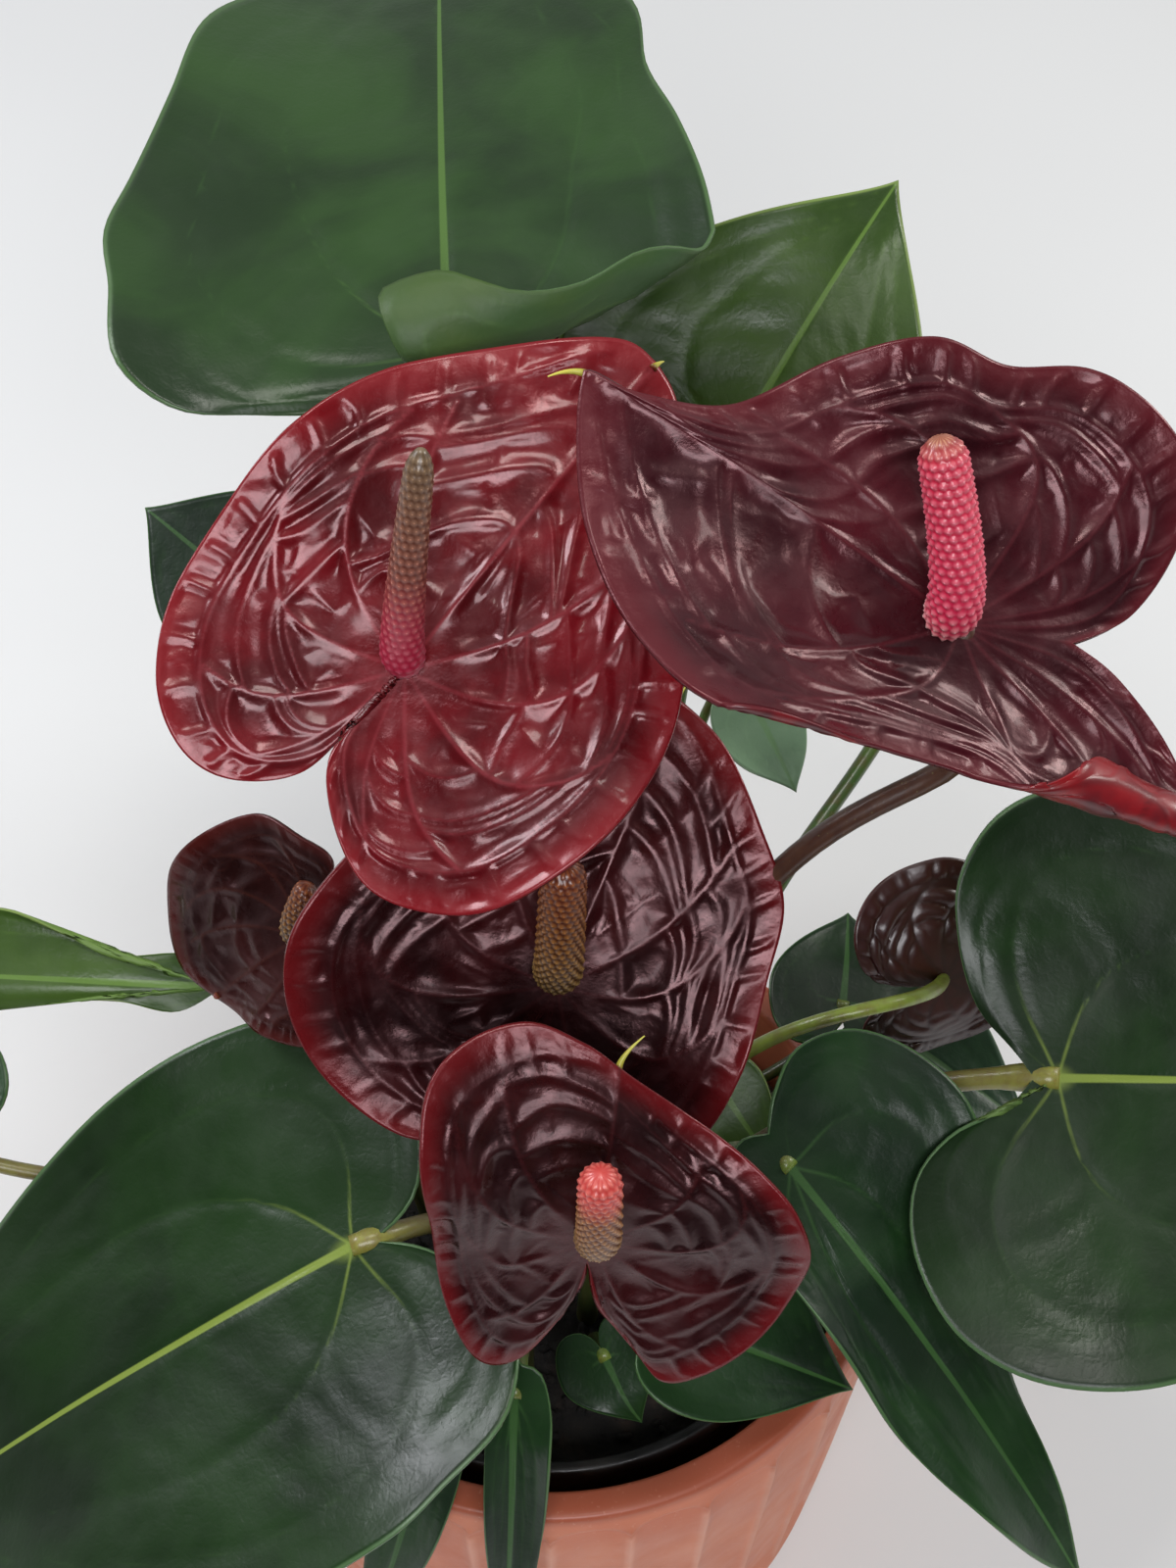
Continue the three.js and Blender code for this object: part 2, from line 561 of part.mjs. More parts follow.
// Leaves, stated in the same way.
const leaves = [
  {
    name: 'leaf_upper_left', at: [-19, 85, 315], tip: [-26, 225, 314], facing: [-0.05, -0.1, 0.99],
    root: [-10, 26], left: 68, right: 56, stalk: 2.3, roll: { towards: -160, start: 0, radius: 12 },
    spokes: 26,
    outline: {
      notch: [-9, 1],
      right: [
        [-28, 2], [-43, -5], [-38, -14], [-29, -18], [-22, -23], [-16, -33], [-12, -47],
        [-1, -53], [28, -53], [55, -49], [76, -44], [100, -42], [124, -24],
      ],
      left: [
        [-10, 14], [-12, 36], [-12, 52], [-2, 63], [17, 65],
        [33, 67], [50, 63], [75, 56], [105, 48], [126, 26],
      ],
    },
  },
  {
    name: 'leaf_upper_right', at: [40, 108, 268], tip: [75, 153, 303], facing: [-0.19, -0.6, 0.77],
    root: [18, 24], left: 44, right: 38, lobe: 24, twist: 0.15, pale: true,
  },
  {
    name: 'leaf_left_small', at: [-73, 114, 215], tip: [-97, 133, 222], facing: [-0.3, -0.3, 0.9],
    root: [-26, 20], left: 20, right: 24, lobe: 12, stalk: 1.6, small: true,
  },
  {
    name: 'leaf_lower_left', at: [-41, -37, 178], tip: [-154, -71, 100], facing: [-0.25, -0.3, 0.92],
    root: [-22, -10], arrive: [-0.9, -0.25, -0.1], left: 50, right: 62, stalk: 2.3,
    outline: {
      notch: [-4, 1],
      right: [
        [-18, -4], [-24, -22], [-17, -42], [-7, -51], [8, -54],
        [29, -54], [53, -51], [75, -45], [100, -33], [122, -16],
      ],
      left: [
        [-14, 8], [-21, 17], [-25, 29], [-24, 38], [-17, 48], [-3, 54],
        [14, 59], [45, 58], [75, 47], [102, 31], [124, 14],
      ],
    },
  },
  {
    name: 'leaf_left_narrow', at: [-76, 26, 179], tip: [-150, 27, 184], facing: [0, -0.5, 0.86],
    root: [-30, 2], left: 8, right: 16, foldLeft: -0.7, foldRight: 0.1, twist: 0.2, pale: true, stalk: 1.6,
    small: true,
    outline: {
      notch: [-2, 0],
      right: [[6, -7], [22, -6], [34, -10], [48, -15], [62, -14], [70, -7]],
      left: [[8, 6], [22, 4], [36, 5], [50, 8], [62, 8], [70, 4]],
    },
  },
  {
    name: 'leaf_right_large', at: [108, -5, 192], tip: [200, 4, 172], facing: [0.1, -0.42, 0.9],
    root: [32, 0], arrive: [0.9, -0.3, 0.4], left: 61, right: 66, stalk: 2.4,
    outline: {
      notch: [-5, 0],
      right: [
        [-12, -7], [-24, -13], [-32, -23], [-32, -38], [-23, -54],
        [-6, -63], [18, -63], [44, -53], [68, -34], [84, -15],
      ],
      left: [
        [-10, 7], [-17, 16], [-21, 29], [-21, 42], [-13, 55],
        [1, 62], [20, 62], [45, 52], [69, 33], [85, 14],
      ],
    },
  },
  {
    name: 'leaf_right_drooping', at: [50, -26, 192], tip: [118, -85, 110], facing: [0.35, -0.45, 0.82],
    root: [26, -16], left: 38, right: 18, arch: 0.2, stalk: 1.9,
    outline: {
      notch: [-8, 1],
      right: [[-11, -6], [-4, -14], [14, -16], [40, -17], [62, -17], [82, -14], [102, -8]],
      left: [
        [-14, 8], [-17, 18], [-12, 30], [0, 37], [16, 38],
        [34, 30], [52, 20], [70, 11], [88, 7], [104, 4],
      ],
    },
  },
  {
    name: 'leaf_centre_small', at: [40, 22, 140], tip: [53, 2, 136], facing: [-0.3, -0.4, 0.85],
    root: [30, 14], left: 10, right: 10, lobe: 6, pale: true, stalk: 1.3, small: true,
  },
  {
    name: 'leaf_right_behind', at: [81, 38, 140], tip: [115, 16, 130], facing: [0.1, -0.3, 0.95],
    root: [35, 7], rise: 0.7, hook: 0.2, left: 18, right: 18, lobe: 10, stalk: 1.5, small: true,
  },
  {
    name: 'leaf_right_rear', at: [69, 40, 150], tip: [72, 66, 150], facing: [0.1, -0.1, 0.98],
    root: [30, 24], left: 18, right: 22, lobe: 12, stalk: 1.5, small: true,
  },
  {
    name: 'leaf_front_right', at: [31, -44, 152], tip: [66, -52, 138], facing: [0, -0.3, 0.95],
    root: [20, -26], left: 24, right: 18, lobe: 10, stalk: 1.6, small: true,
  },
  {
    name: 'leaf_front_middle', at: [12, -42, 132], tip: [20, -54, 124], facing: [-0.3, -0.5, 0.8],
    root: [8, -30], left: 11, right: 12, lobe: 8, stalk: 1.5, small: true,
  },
  {
    name: 'leaf_front_hanging', at: [-7, -65, 166], tip: [-6, -103, 84], facing: [-0.2, -0.9, 0.4],
    root: [-6, -34], left: 8, right: 6, lobe: 7, bend: -0.06, stalk: 1.6, small: true,
  },
  {
    name: 'leaf_front_left', at: [-26, -66, 148], tip: [-38, -94, 82], facing: [-0.2, -0.9, 0.4],
    root: [-19, -30], left: 9, right: 9, lobe: 7, bend: -0.1, stalk: 1.5, small: true,
  },
  {
    name: 'leaf_rear_small', at: [46, 80, 213], tip: [57, 72, 190], facing: [0.25, -0.9, 0.35],
    root: [24, 34], left: 10, right: 11, lobe: 6, pale: true, stalk: 1.2, small: true,
  },
  {
    name: 'leaf_left_low', at: [-142, 0, 160], tip: [-187, 32, 146], facing: [-0.3, 0, 0.95],
    root: [-37, -10], left: 26, right: 26, lobe: 14, stalk: 1.8, rise: 0.6, small: true,
  },
  {
    name: 'leaf_back_left', at: [-27, 92, 212], tip: [-44, 156, 214], facing: [-0.1, 0.1, 0.98],
    root: [-20, 32], left: 26, right: 30, lobe: 18, stalk: 1.9, spokes: 14,
  },
  {
    name: 'leaf_back_middle', at: [-8, 98, 168], tip: [-6, 172, 148], facing: [0, 0.2, 0.97],
    root: [0, 38], left: 34, right: 34, lobe: 22, stalk: 1.9, spokes: 14,
  },
  {
    name: 'leaf_back_right', at: [84, 96, 204], tip: [116, 160, 190], facing: [0.2, 0.2, 0.95],
    root: [35, 32], left: 34, right: 34, lobe: 20, stalk: 1.9, rise: 0.8, spokes: 14,
  },
];

// Where each stalk leaves the soil, and how thick it is there.
function stemOf(given, plainForm, smallForm) {
  const form = given.small ? smallForm : plainForm;
  return { root: given.root, stalk: given.stalk ?? form.stalk };
}
const stems = [
  ...flowers.map((given) => stemOf(given, spatheForm, smallSpatheForm)),
  ...leaves.map((given) => stemOf(given, leafForm, smallLeafForm)),
];

// The waves of each blade's edge start a little further round than on the one before it.
const nextPhase = 2.4;

const plant = new THREE.Group();
plant.add(planter(), nurseryPot(), soil(stems));
flowers.forEach((given, i) => plant.add(flower({ phase: nextPhase * i, ...given })));
leaves.forEach((given, i) => plant.add(leaf({ phase: nextPhase * i, ...given })));

export default plant;
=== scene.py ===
import math
import random

import bmesh
import bpy
from mathutils import Matrix, Vector, kdtree, noise
from mathutils.geometry import interpolate_bezier


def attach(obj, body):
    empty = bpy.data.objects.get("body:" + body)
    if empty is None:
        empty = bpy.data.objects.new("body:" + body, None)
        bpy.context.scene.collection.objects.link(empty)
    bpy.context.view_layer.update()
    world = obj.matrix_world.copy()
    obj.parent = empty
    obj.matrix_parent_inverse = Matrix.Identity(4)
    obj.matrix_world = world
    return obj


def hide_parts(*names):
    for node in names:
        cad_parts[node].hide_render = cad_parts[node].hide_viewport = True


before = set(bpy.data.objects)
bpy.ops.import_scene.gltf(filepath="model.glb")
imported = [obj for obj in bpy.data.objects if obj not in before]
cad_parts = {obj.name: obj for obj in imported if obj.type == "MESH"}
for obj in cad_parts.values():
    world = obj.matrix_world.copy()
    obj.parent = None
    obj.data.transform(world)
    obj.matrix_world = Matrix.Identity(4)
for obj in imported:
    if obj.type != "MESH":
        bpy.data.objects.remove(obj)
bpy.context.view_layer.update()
print("frame loaded:", len(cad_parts), "nodes")

mm = 0.001  # the plant's sizes below are in millimetres
body = "root"


# Small helpers

def clamp(x, low=0.0, high=1.0):
    return max(low, min(high, x))


def smooth(x, low, high):
    t = clamp((x - low) / (high - low))
    return t * t * (3 - 2 * t)


def mix(a, b, share):
    return a + (b - a) * share


def colour(hexCode, alpha=1.0):  # "#b86c55" as a linear colour
    channels = [int(hexCode[i:i + 2], 16) / 255 for i in (1, 3, 5)]
    linear = [c / 12.92 if c <= 0.04045 else ((c + 0.055) / 1.055) ** 2.4 for c in channels]
    return (*linear, alpha)


def evenly(points, count):  # the same line, as count steps of equal length
    lengths = [0.0]
    for a, b in zip(points, points[1:]):
        lengths.append(lengths[-1] + (b - a).length)
    out, k = [], 0
    for i in range(count + 1):
        wanted = lengths[-1] * i / count
        while k < len(points) - 2 and lengths[k + 1] < wanted:
            k += 1
        span = lengths[k + 1] - lengths[k]
        out.append(points[k].lerp(points[k + 1], clamp((wanted - lengths[k]) / span) if span else 0))
    return out


def smoothLine(points, steps):  # a curve through all the points
    ends = [points[0], *points, points[-1]]
    out = [points[0]]
    for a, b, c, d in zip(ends, ends[1:], ends[2:], ends[3:]):
        for i in range(1, steps + 1):
            t = i / steps
            out.append(0.5 * (2 * b + (c - a) * t + (2 * a - 5 * b + 4 * c - d) * t ** 2
                              + (3 * b - a - 3 * c + d) * t ** 3))
    return out


# Materials: each function below adds its nodes to the material that was started last.

def startNodes(owner):
    global tree
    owner.use_nodes = True
    tree = owner.node_tree
    return owner


def newMaterial(name):
    material = startNodes(bpy.data.materials.new(name))
    tree.nodes.clear()
    output = tree.nodes.new("ShaderNodeOutputMaterial")
    shader = tree.nodes.new("ShaderNodeBsdfPrincipled")
    tree.links.new(shader.outputs[0], output.inputs["Surface"])
    return material


def add(kind, inputs=(), **settings):
    node = tree.nodes.new("ShaderNode" + kind)
    for key, value in settings.items():
        setattr(node, key, value)
    for key, value in dict(inputs).items():
        join(value, node.inputs[key])
    return node


def join(value, socket):  # a plain value, a colour such as "#b86c55", or another node's output
    if isinstance(value, bpy.types.NodeSocket):
        tree.links.new(value, socket)
    else:
        socket.default_value = colour(value) if isinstance(value, str) else value


def meshValue(name):
    return add("Attribute", attribute_name=name).outputs["Fac"]


def objectPlace():
    return add("TexCoord").outputs["Object"]


def grain(scale, detail=3.0, stretch=(1, 1, 1), distortion=0.0):
    place = add("Mapping", {"Vector": objectPlace(), "Scale": stretch}).outputs["Vector"]
    inputs = {"Vector": place, "Scale": scale, "Detail": detail, "Roughness": 0.55, "Distortion": distortion}
    return add("TexNoise", inputs).outputs["Fac"]


def cells(scale, feature="DISTANCE_TO_EDGE"):
    inputs = {"Vector": objectPlace(), "Scale": scale}
    return add("TexVoronoi", inputs, feature=feature).outputs["Distance"]


def along(place, axis):  # one coordinate of a place
    return add("SeparateXYZ", {"Vector": place}).outputs[axis]


def level(value, fromLow, fromHigh, toLow, toHigh, form="SMOOTHSTEP"):
    if isinstance(value, str):  # a value kept in the mesh
        value = meshValue(value)
    inputs = {"Value": value, "From Min": fromLow, "From Max": fromHigh, "To Min": toLow, "To Max": toHigh}
    return add("MapRange", inputs, interpolation_type=form).outputs["Result"]


def reckon(operation, *values):
    return add("Math", dict(enumerate(values)), operation=operation).outputs[0]


def blend(share, a, b):
    return add("Mix", {0: share, 6: a, 7: b}, data_type="RGBA").outputs[2]


def layered(tint, layers):  # each layer says where its colour lies over those before it
    for *where, over in layers:
        tint = blend(level(*where), tint, over)
    return tint


def ramp(share, stops):  # stops are (place, colour)
    node = add("ValToRGB", {"Fac": share})
    elements = node.color_ramp.elements
    while len(elements) < len(stops):
        elements.new(0.5)
    for element, (place, tint) in zip(elements, stops):
        element.position = place
        element.color = colour(tint)
    return node.outputs["Color"]


def bump(*dents):  # dents laid over one another, as (height, strength, distance)
    skin = {}
    for height, strength, distance in dents:
        inputs = {"Height": height, "Strength": strength, "Distance": distance, **skin}
        skin = {"Normal": add("Bump", inputs).outputs["Normal"]}
    return skin["Normal"]


def setShader(**values):
    shader = tree.nodes["Principled BSDF"]
    for key, value in values.items():
        join(value, shader.inputs[key.replace("_", " ")])


# Blades: leaves and spathes are one kind of thing, a heart-shaped blade round its junction with the stalk.
# X runs from the junction to the tip, Y to the left and Z out of the upper face. A blade is set by where its
# junction (at), its tip and its stalk's foot (root) lie, the way its upper face looks (facing) and its half
# widths (left and right). Some have an outline of stated (x, y) corners, and the others the plain heart.

bladeForm = dict(foldLeft=0.12, foldRight=0.12, relax=0.0, twist=0.0, bend=0.0, seat=6.0)
phaseStep = 2.4  # each blade's edge waves start this much further round than on the one before
heart = dict(  # the plain outline's curves, as shares of the blade's length, half width or lobe
    widest=0.08, shoulder=0.48, point=(0.8, 0.2), lobePull=0.6, lobeFlat=0.82, heel=0.5, heelPull=0.14,
    notchPull=0.45, notchOpen=0.02,
)


def framed(form, given, number):
    blade = {**bladeForm, **form, **given}
    first, step = blade["seeds"]
    blade["phase"], blade["seed"] = phaseStep * number, first + step * number
    at = Vector(blade["at"])
    chord = Vector(blade["tip"]) - at
    ahead = chord.normalized()
    aside = Vector(blade["facing"]).cross(ahead).normalized()
    upright = ahead.cross(aside)
    pitch = math.atan(blade["arch"])
    forward = ahead * math.cos(pitch) + upright * math.sin(pitch)
    normal = upright * math.cos(pitch) - ahead * math.sin(pitch)
    blade["length"] = chord.length * math.cos(pitch)
    blade.setdefault("notch", 0.1 * blade["length"])
    blade["forward"], blade["normal"] = forward, normal
    blade["matrix"] = Matrix((forward, aside, normal)).transposed().to_4x4()
    blade["matrix"].translation = at
    return blade


def heartOutline(blade, count):  # from the notch down the right side to the tip and back up the left side
    length, notch = blade["length"], blade["notch"]
    if "outline" in blade:
        def stated(corners):
            stops = [blade["outline"]["notch"], *corners, (length, 0)]
            return evenly(smoothLine([Vector((*stop, 0)) for stop in stops], 24), count // 2)
        return stated(blade["outline"]["right"]) + stated(blade["outline"]["left"])[::-1][1:]

    lobe = blade["lobe"]

    def side(half, sign):
        def corner(x, y):
            return Vector((x, sign * y * half, 0))
        foot = corner(-notch, 0)
        heel = corner(-lobe, heart["heel"])
        flank = corner(heart["widest"] * length, 1)
        ahead, aside = heart["point"]
        pieces = (
            (foot, corner(-notch - heart["notchPull"] * (lobe - notch), heart["notchOpen"]),
             corner(-lobe, heart["heelPull"]), heel),
            (heel, corner(-lobe, heart["lobeFlat"]), flank - Vector((heart["lobePull"] * lobe, 0, 0)), flank),
            (flank, corner(heart["shoulder"] * length, 1), corner(ahead * length, aside), corner(length, 0)),
        )
        points = [foot]
        for knots in pieces:
            points += interpolate_bezier(*knots, 60)[1:]
        return evenly(points, count // 2)

    return side(blade["right"], -1) + side(blade["left"], 1)[::-1][1:]


def outlineAt(outline, s, sign):  # s is 0 at the tip and 1 at the notch
    middle = (len(outline) - 1) / 2
    place = middle * (1 + sign * clamp(s))
    k = min(int(place), len(outline) - 2)
    return outline[k].lerp(outline[k + 1], place - k)


def clearOfSeat(blade, x, y):
    return smooth(math.hypot(x, y), blade["seat"], 3 * blade["seat"])


def bladeHeight(blade, x, y, v, turn):
    ahead = x / blade["length"]
    half, fold = (blade["right"], blade["foldRight"]) if y < 0 else (blade["left"], blade["foldLeft"])
    bow = (-blade["arch"] if ahead > 0 else blade["back"]) * blade["length"] * ahead ** 2
    cup = fold * half * (y / half) ** 2 * (1 - blade["relax"] * max(0, ahead))
    twist = blade["twist"] * x * y / blade["length"]
    edge = blade["wave"] * v ** 3 * math.sin(2 * math.pi * blade["waves"] * turn + blade["phase"])
    return (bow + cup + twist + edge) * clearOfSeat(blade, x, y)


def rolled(blade, place):  # curls what lies beyond a line up and over
    if "roll" not in blade:
        return place
    towards, start, radius = blade["roll"]
    out = Vector((math.cos(math.radians(towards)), math.sin(math.radians(towards)), 0))
    beyond = place.dot(out) - start
    if beyond <= 0:
        return place
    bend, height = beyond / radius, place.z
    curled = place + out * ((radius - height) * math.sin(bend) - beyond)
    curled.z = radius - (radius - height) * math.cos(bend)
    return curled


# Veins of one half of a blade, as (s, v) points: s from 0 at the tip to 1 at the notch, v from 0 at the
# junction to 1 at the edge. Arches run out from the junction. Crosses join one arch to the next, with their
# number, where on the first arch they begin and how much further out they end. Rungs run from ring to edge.
straightRib = [(0.0, 0.0), (0.0, 0.35), (0.0, 0.7), (0.0, 1.0)]
spatheVeins = {
    "arches": {
        "nerve": [(0.27, 0.02), (0.26, 0.3), (0.23, 0.58), (0.19, 0.84)],
        "inner": [(0.47, 0.02), (0.45, 0.3), (0.4, 0.55), (0.33, 0.72), (0.26, 0.84)],
        "middle": [(0.61, 0.02), (0.61, 0.3), (0.58, 0.56), (0.51, 0.74), (0.45, 0.83)],
        "outer": [(0.76, 0.02), (0.76, 0.34), (0.74, 0.6), (0.69, 0.82)],
        "lobe": [(0.88, 0.04), (0.88, 0.36), (0.86, 0.62), (0.82, 0.82)],
        "ring": [(0.965, 0.06), (0.965, 0.4), (0.95, 0.66), (0.91, 0.79), (0.82, 0.825), (0.65, 0.83),
                 (0.45, 0.835), (0.28, 0.85), (0.14, 0.885), (0.03, 0.96)],
    },
    "crosses": [("rib", "nerve", 4, 0.34, 0.05), ("nerve", "inner", 4, 0.3, -0.07),
                ("inner", "middle", 4, 0.4, 0.08), ("middle", "outer", 3, 0.34, -0.07),
                ("outer", "lobe", 3, 0.42, 0.06)],
    "rungs": (17, 0.83, 0.965),  # their number, and the v of their two ends
}
leafVeins = {
    "arches": {
        "inner": [(0.5, 0.02), (0.49, 0.24), (0.43, 0.44), (0.33, 0.6), (0.2, 0.74), (0.07, 0.9)],
        "outer": [(0.72, 0.02), (0.74, 0.3), (0.7, 0.55), (0.6, 0.73), (0.46, 0.81), (0.3, 0.86),
                  (0.15, 0.91), (0.04, 0.97)],
        "lobe": [(0.9, 0.03), (0.92, 0.36), (0.88, 0.62), (0.79, 0.77), (0.68, 0.8)],
        "ring": [(0.97, 0.7), (0.93, 0.86), (0.8, 0.91), (0.6, 0.92), (0.3, 0.935), (0.03, 0.98)],
    },
    "crosses": [("rib", "inner", 8, 0.12, 0.14), ("inner", "outer", 9, 0.2, 0.08),
                ("outer", "ring", 10, 0.25, 0.04), ("lobe", "ring", 4, 0.35, -0.2)],
}
sampleStep = 0.5  # between the points that stand for a vein


def veinFinder(blade, outline, veins, seed):  # the veins' points to search in, and how strong each one is
    dice = random.Random(seed)
    lines = []  # (points, how strong)

    def spot(s, v, sign):
        return outlineAt(outline, s, sign) * v

    for sign in (-1, 1):
        halves = {"rib": smoothLine([Vector((*p, 0)) for p in straightRib], 8)}
        for name, points in veins["arches"].items():
            shift = dice.uniform(-0.02, 0.02)
            halves[name] = smoothLine([Vector((p[0] + shift * (0.2 + p[1]), p[1], 0)) for p in points], 10)
        for name, line in halves.items():
            strength = 1.0 if name == "rib" else blade["veinStrength"][name]
            lines.append(([spot(p.x, p.y, sign) for p in line], strength))
        for start, end, count, first, skew in veins["crosses"]:
            a, b = halves[start], halves[end]
            for i in range(count):
                share = mix(first, 0.93, (i + dice.uniform(0.1, 0.9)) / count)
                other = clamp(share + skew + dice.uniform(-0.08, 0.08), 0.02, 0.99)
                p = a[int(share * (len(a) - 1))]
                q = b[int(other * (len(b) - 1))]
                kink = p.lerp(q, 0.5) + Vector((dice.uniform(-0.02, 0.02), dice.uniform(-0.03, 0.03), 0))
                bent = smoothLine([p, kink, q], 8)
                lines.append(([spot(c.x, c.y, sign) for c in bent], blade["veinStrength"]["cross"]))
        count, inside, outside = veins.get("rungs", (0, 0, 0))
        for i in range(count):
            s = 0.05 + 0.9 * (i + dice.uniform(0.25, 0.75)) / count
            halfway, end = s + dice.uniform(-0.004, 0.004), s + dice.uniform(-0.008, 0.008)
            bent = [(s, inside), (halfway, 0.9), (end, outside)]
            lines.append(([spot(*p, sign) for p in bent], blade["veinStrength"]["rung"]))
    samples, strengths = [], []
    for points, strength in lines:
        length = sum((b - a).length for a, b in zip(points, points[1:]))
        step = evenly(points, max(2, int(length / sampleStep)))
        samples += step
        strengths += [strength] * len(step)
    finder = kdtree.KDTree(len(samples))
    for i, p in enumerate(samples):
        finder.insert(p, i)
    finder.balance()
    return finder, strengths


puckers = dict(  # of a spathe: widths in mm, and heights as shares of its relief
    fold=11, foldSharp=0.2, foldShare=0.5, dimple=8, dimpleShare=1.0, swell=34, swellShare=0.6, vein=0.5,
    depth=1.1, narrowing=0.5, outerBand=(0.8, 0.9), flatEdge=(0.955, 0.985),
)
quilting = dict(  # of a leaf
    broad=30, broadShare=0.5, panel=8, panelShare=0.12, vein=0.2, groove=0.55, flatEdge=(0.95, 1.0),
)


def waver(x, y, width, seed):
    return noise.noise(Vector((x / width, y / width, seed)))


def spatheRelief(blade, x, y, v, distance, strength):  # raised veins with puckered hollows between them
    seed, form = blade["seed"], puckers
    narrow = mix(1, form["narrowing"], smooth(v, *form["outerBand"]))
    hollow = 1 - math.exp(-(distance / (blade["ridge"] * narrow)) ** 1.8)
    near, second = noise.voronoi(Vector((x / form["fold"], y / form["fold"], seed)))[0][:2]
    fold = math.exp(-(second - near) / form["foldSharp"])
    depth = form["depth"] + form["dimpleShare"] * waver(x, y, form["dimple"], seed + 7)
    rough = 1 + form["swellShare"] * waver(x, y, form["swell"], seed)
    basin = hollow * (1 - form["foldShare"] * fold * smooth(distance, 0.5, 2.5))
    fade = clearOfSeat(blade, x, y) * (1 - smooth(v, *form["flatEdge"]))
    return blade["relief"] * rough * (form["vein"] - depth * narrow ** 0.5 * basin) * fade


def leafRelief(blade, x, y, v, distance, strength):  # sunk veins with low quilted panels between them
    seed, form = blade["seed"], quilting
    groove = strength * math.exp(-(distance / blade["ridge"]) ** 2)
    broad = waver(x, y, form["broad"], seed + 3)
    quilt = waver(x, y, form["panel"], seed)
    fade = clearOfSeat(blade, x, y) * (1 - smooth(v, *form["flatEdge"]))
    height = form["vein"] - form["groove"] * groove + form["panelShare"] * quilt + form["broadShare"] * broad
    return blade["relief"] * height * fade


def bladePiece(name, blade, veins, reliefAt, materials):
    rings, spokes = blade["mesh"]
    outline = heartOutline(blade, spokes)
    finder, strengths = veinFinder(blade, outline, veins, name)
    bm = bmesh.new()
    bmesh.ops.create_grid(bm, x_segments=rings, y_segments=spokes, size=0.5)
    layers = {key: bm.verts.layers.float.new(key) for key in ("vein", "rim", "across", "ahead")}
    for vert in bm.verts:
        v = vert.co.x + 0.5
        turn = vert.co.y + 0.5
        flat = outline[round(turn * spokes)] * v
        x, y = flat.x, flat.y
        _, index, distance = finder.find(flat)
        strength = strengths[index]
        beside = smooth(min(turn, 1 - turn), 0.0, 0.03)  # the two sides of the notch lie level
        z = bladeHeight(blade, x, y, v, turn) + reliefAt(blade, x, y, v, distance, strength) * beside
        bend = blade["bend"] * blade["length"] * (x / blade["length"]) ** 2
        vert.co = blade["matrix"] @ rolled(blade, Vector((x, y + bend, z))) * mm
        vert[layers["vein"]] = distance + 1.5 * (1 - strength)
        vert[layers["rim"]] = v
        vert[layers["across"]] = y
        vert[layers["ahead"]] = x
    bmesh.ops.remove_doubles(bm, verts=bm.verts, dist=1e-7)
    piece = pieceFrom(bm, name, materials)
    sheet = piece.modifiers.new("thickness", "SOLIDIFY")
    sheet.thickness = blade["thickness"] * mm
    sheet.offset = -1
    sheet.material_offset = 1
    return piece


def newObject(name, data):
    made = bpy.data.objects.new(name, data)
    bpy.context.scene.collection.objects.link(made)
    return made


def netObject(bm, name, materials):
    mesh = bpy.data.meshes.new(name)
    bm.to_mesh(mesh)
    bm.free()
    for material in materials:
        mesh.materials.append(material)
    return newObject(name, mesh)


def pieceFrom(bm, name, materials):
    for face in bm.faces:
        face.smooth = True
    piece = netObject(bm, name, materials)
    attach(piece, body)
    return piece


# Stalks, spadices and tips are sweeps: a round section along a path, closed at both ends. What radiusAt gives
# for each place is the section's radius and the values of the attributes.

def sweep(name, path, radiusAt, around, material, attributes=("along",)):
    count = len(path) - 1
    frames, side = [], None
    for i, centre in enumerate(path):
        ahead = (path[min(i + 1, count)] - path[max(i - 1, 0)]).normalized()
        if side is None:
            side = ahead.orthogonal()
        side = (side - ahead * side.dot(ahead)).normalized()
        frames.append((centre, side, ahead.cross(side)))
    bm = bmesh.new()
    bmesh.ops.create_grid(bm, x_segments=count + 2, y_segments=around, size=0.5)
    layers = {key: bm.verts.layers.float.new(key) for key in attributes}
    for vert in bm.verts:
        row = round((vert.co.x + 0.5) * (count + 2)) - 1
        closing = row < 0 or row > count
        i = int(clamp(row, 0, count))
        turn = 0.5 - vert.co.y
        radius, values = radiusAt(i / count, turn)
        centre, across, up = frames[i]
        angle = 2 * math.pi * turn
        out = across * math.cos(angle) + up * math.sin(angle)
        vert.co = (centre + out * (0 if closing else radius)) * mm
        for key, value in zip(attributes, values):
            vert[layers[key]] = value
    bmesh.ops.remove_doubles(bm, verts=bm.verts, dist=1e-7)
    bmesh.ops.recalc_face_normals(bm, faces=bm.faces)
    return pieceFrom(bm, name, [material])


stalkForm = dict(
    footHeight=102.0,  # just under the soil
    foot=0.25, footEnd=0.12, kneeAt=0.94, kneeWidth=0.035, taper=(1.04, 0.96), steps=48, around=16,
)


def stalkPath(blade, end, arrival):
    foot = Vector((*blade["root"], stalkForm["footHeight"]))
    reach = (end - foot).length
    above = foot + Vector((0, 0, blade.get("rise", 0.5) * reach))
    before = end - arrival * blade.get("hook", 0.3) * reach
    return evenly(interpolate_bezier(foot, above, before, end, 80), stalkForm["steps"])


def stalkPiece(name, node, blade, path, material):
    def radiusAt(share, turn):
        foot = stalkForm["foot"] * (1 - smooth(share, 0, stalkForm["footEnd"]))
        knee = blade["knee"] * math.exp(-((share - stalkForm["kneeAt"]) / stalkForm["kneeWidth"]) ** 2)
        return blade["stalk"] * (1 + foot + knee) * mix(*stalkForm["taper"], share), (share,)

    piece = sweep(name, path, radiusAt, stalkForm["around"], material)
    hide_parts(node)


# Spathes and their spadices

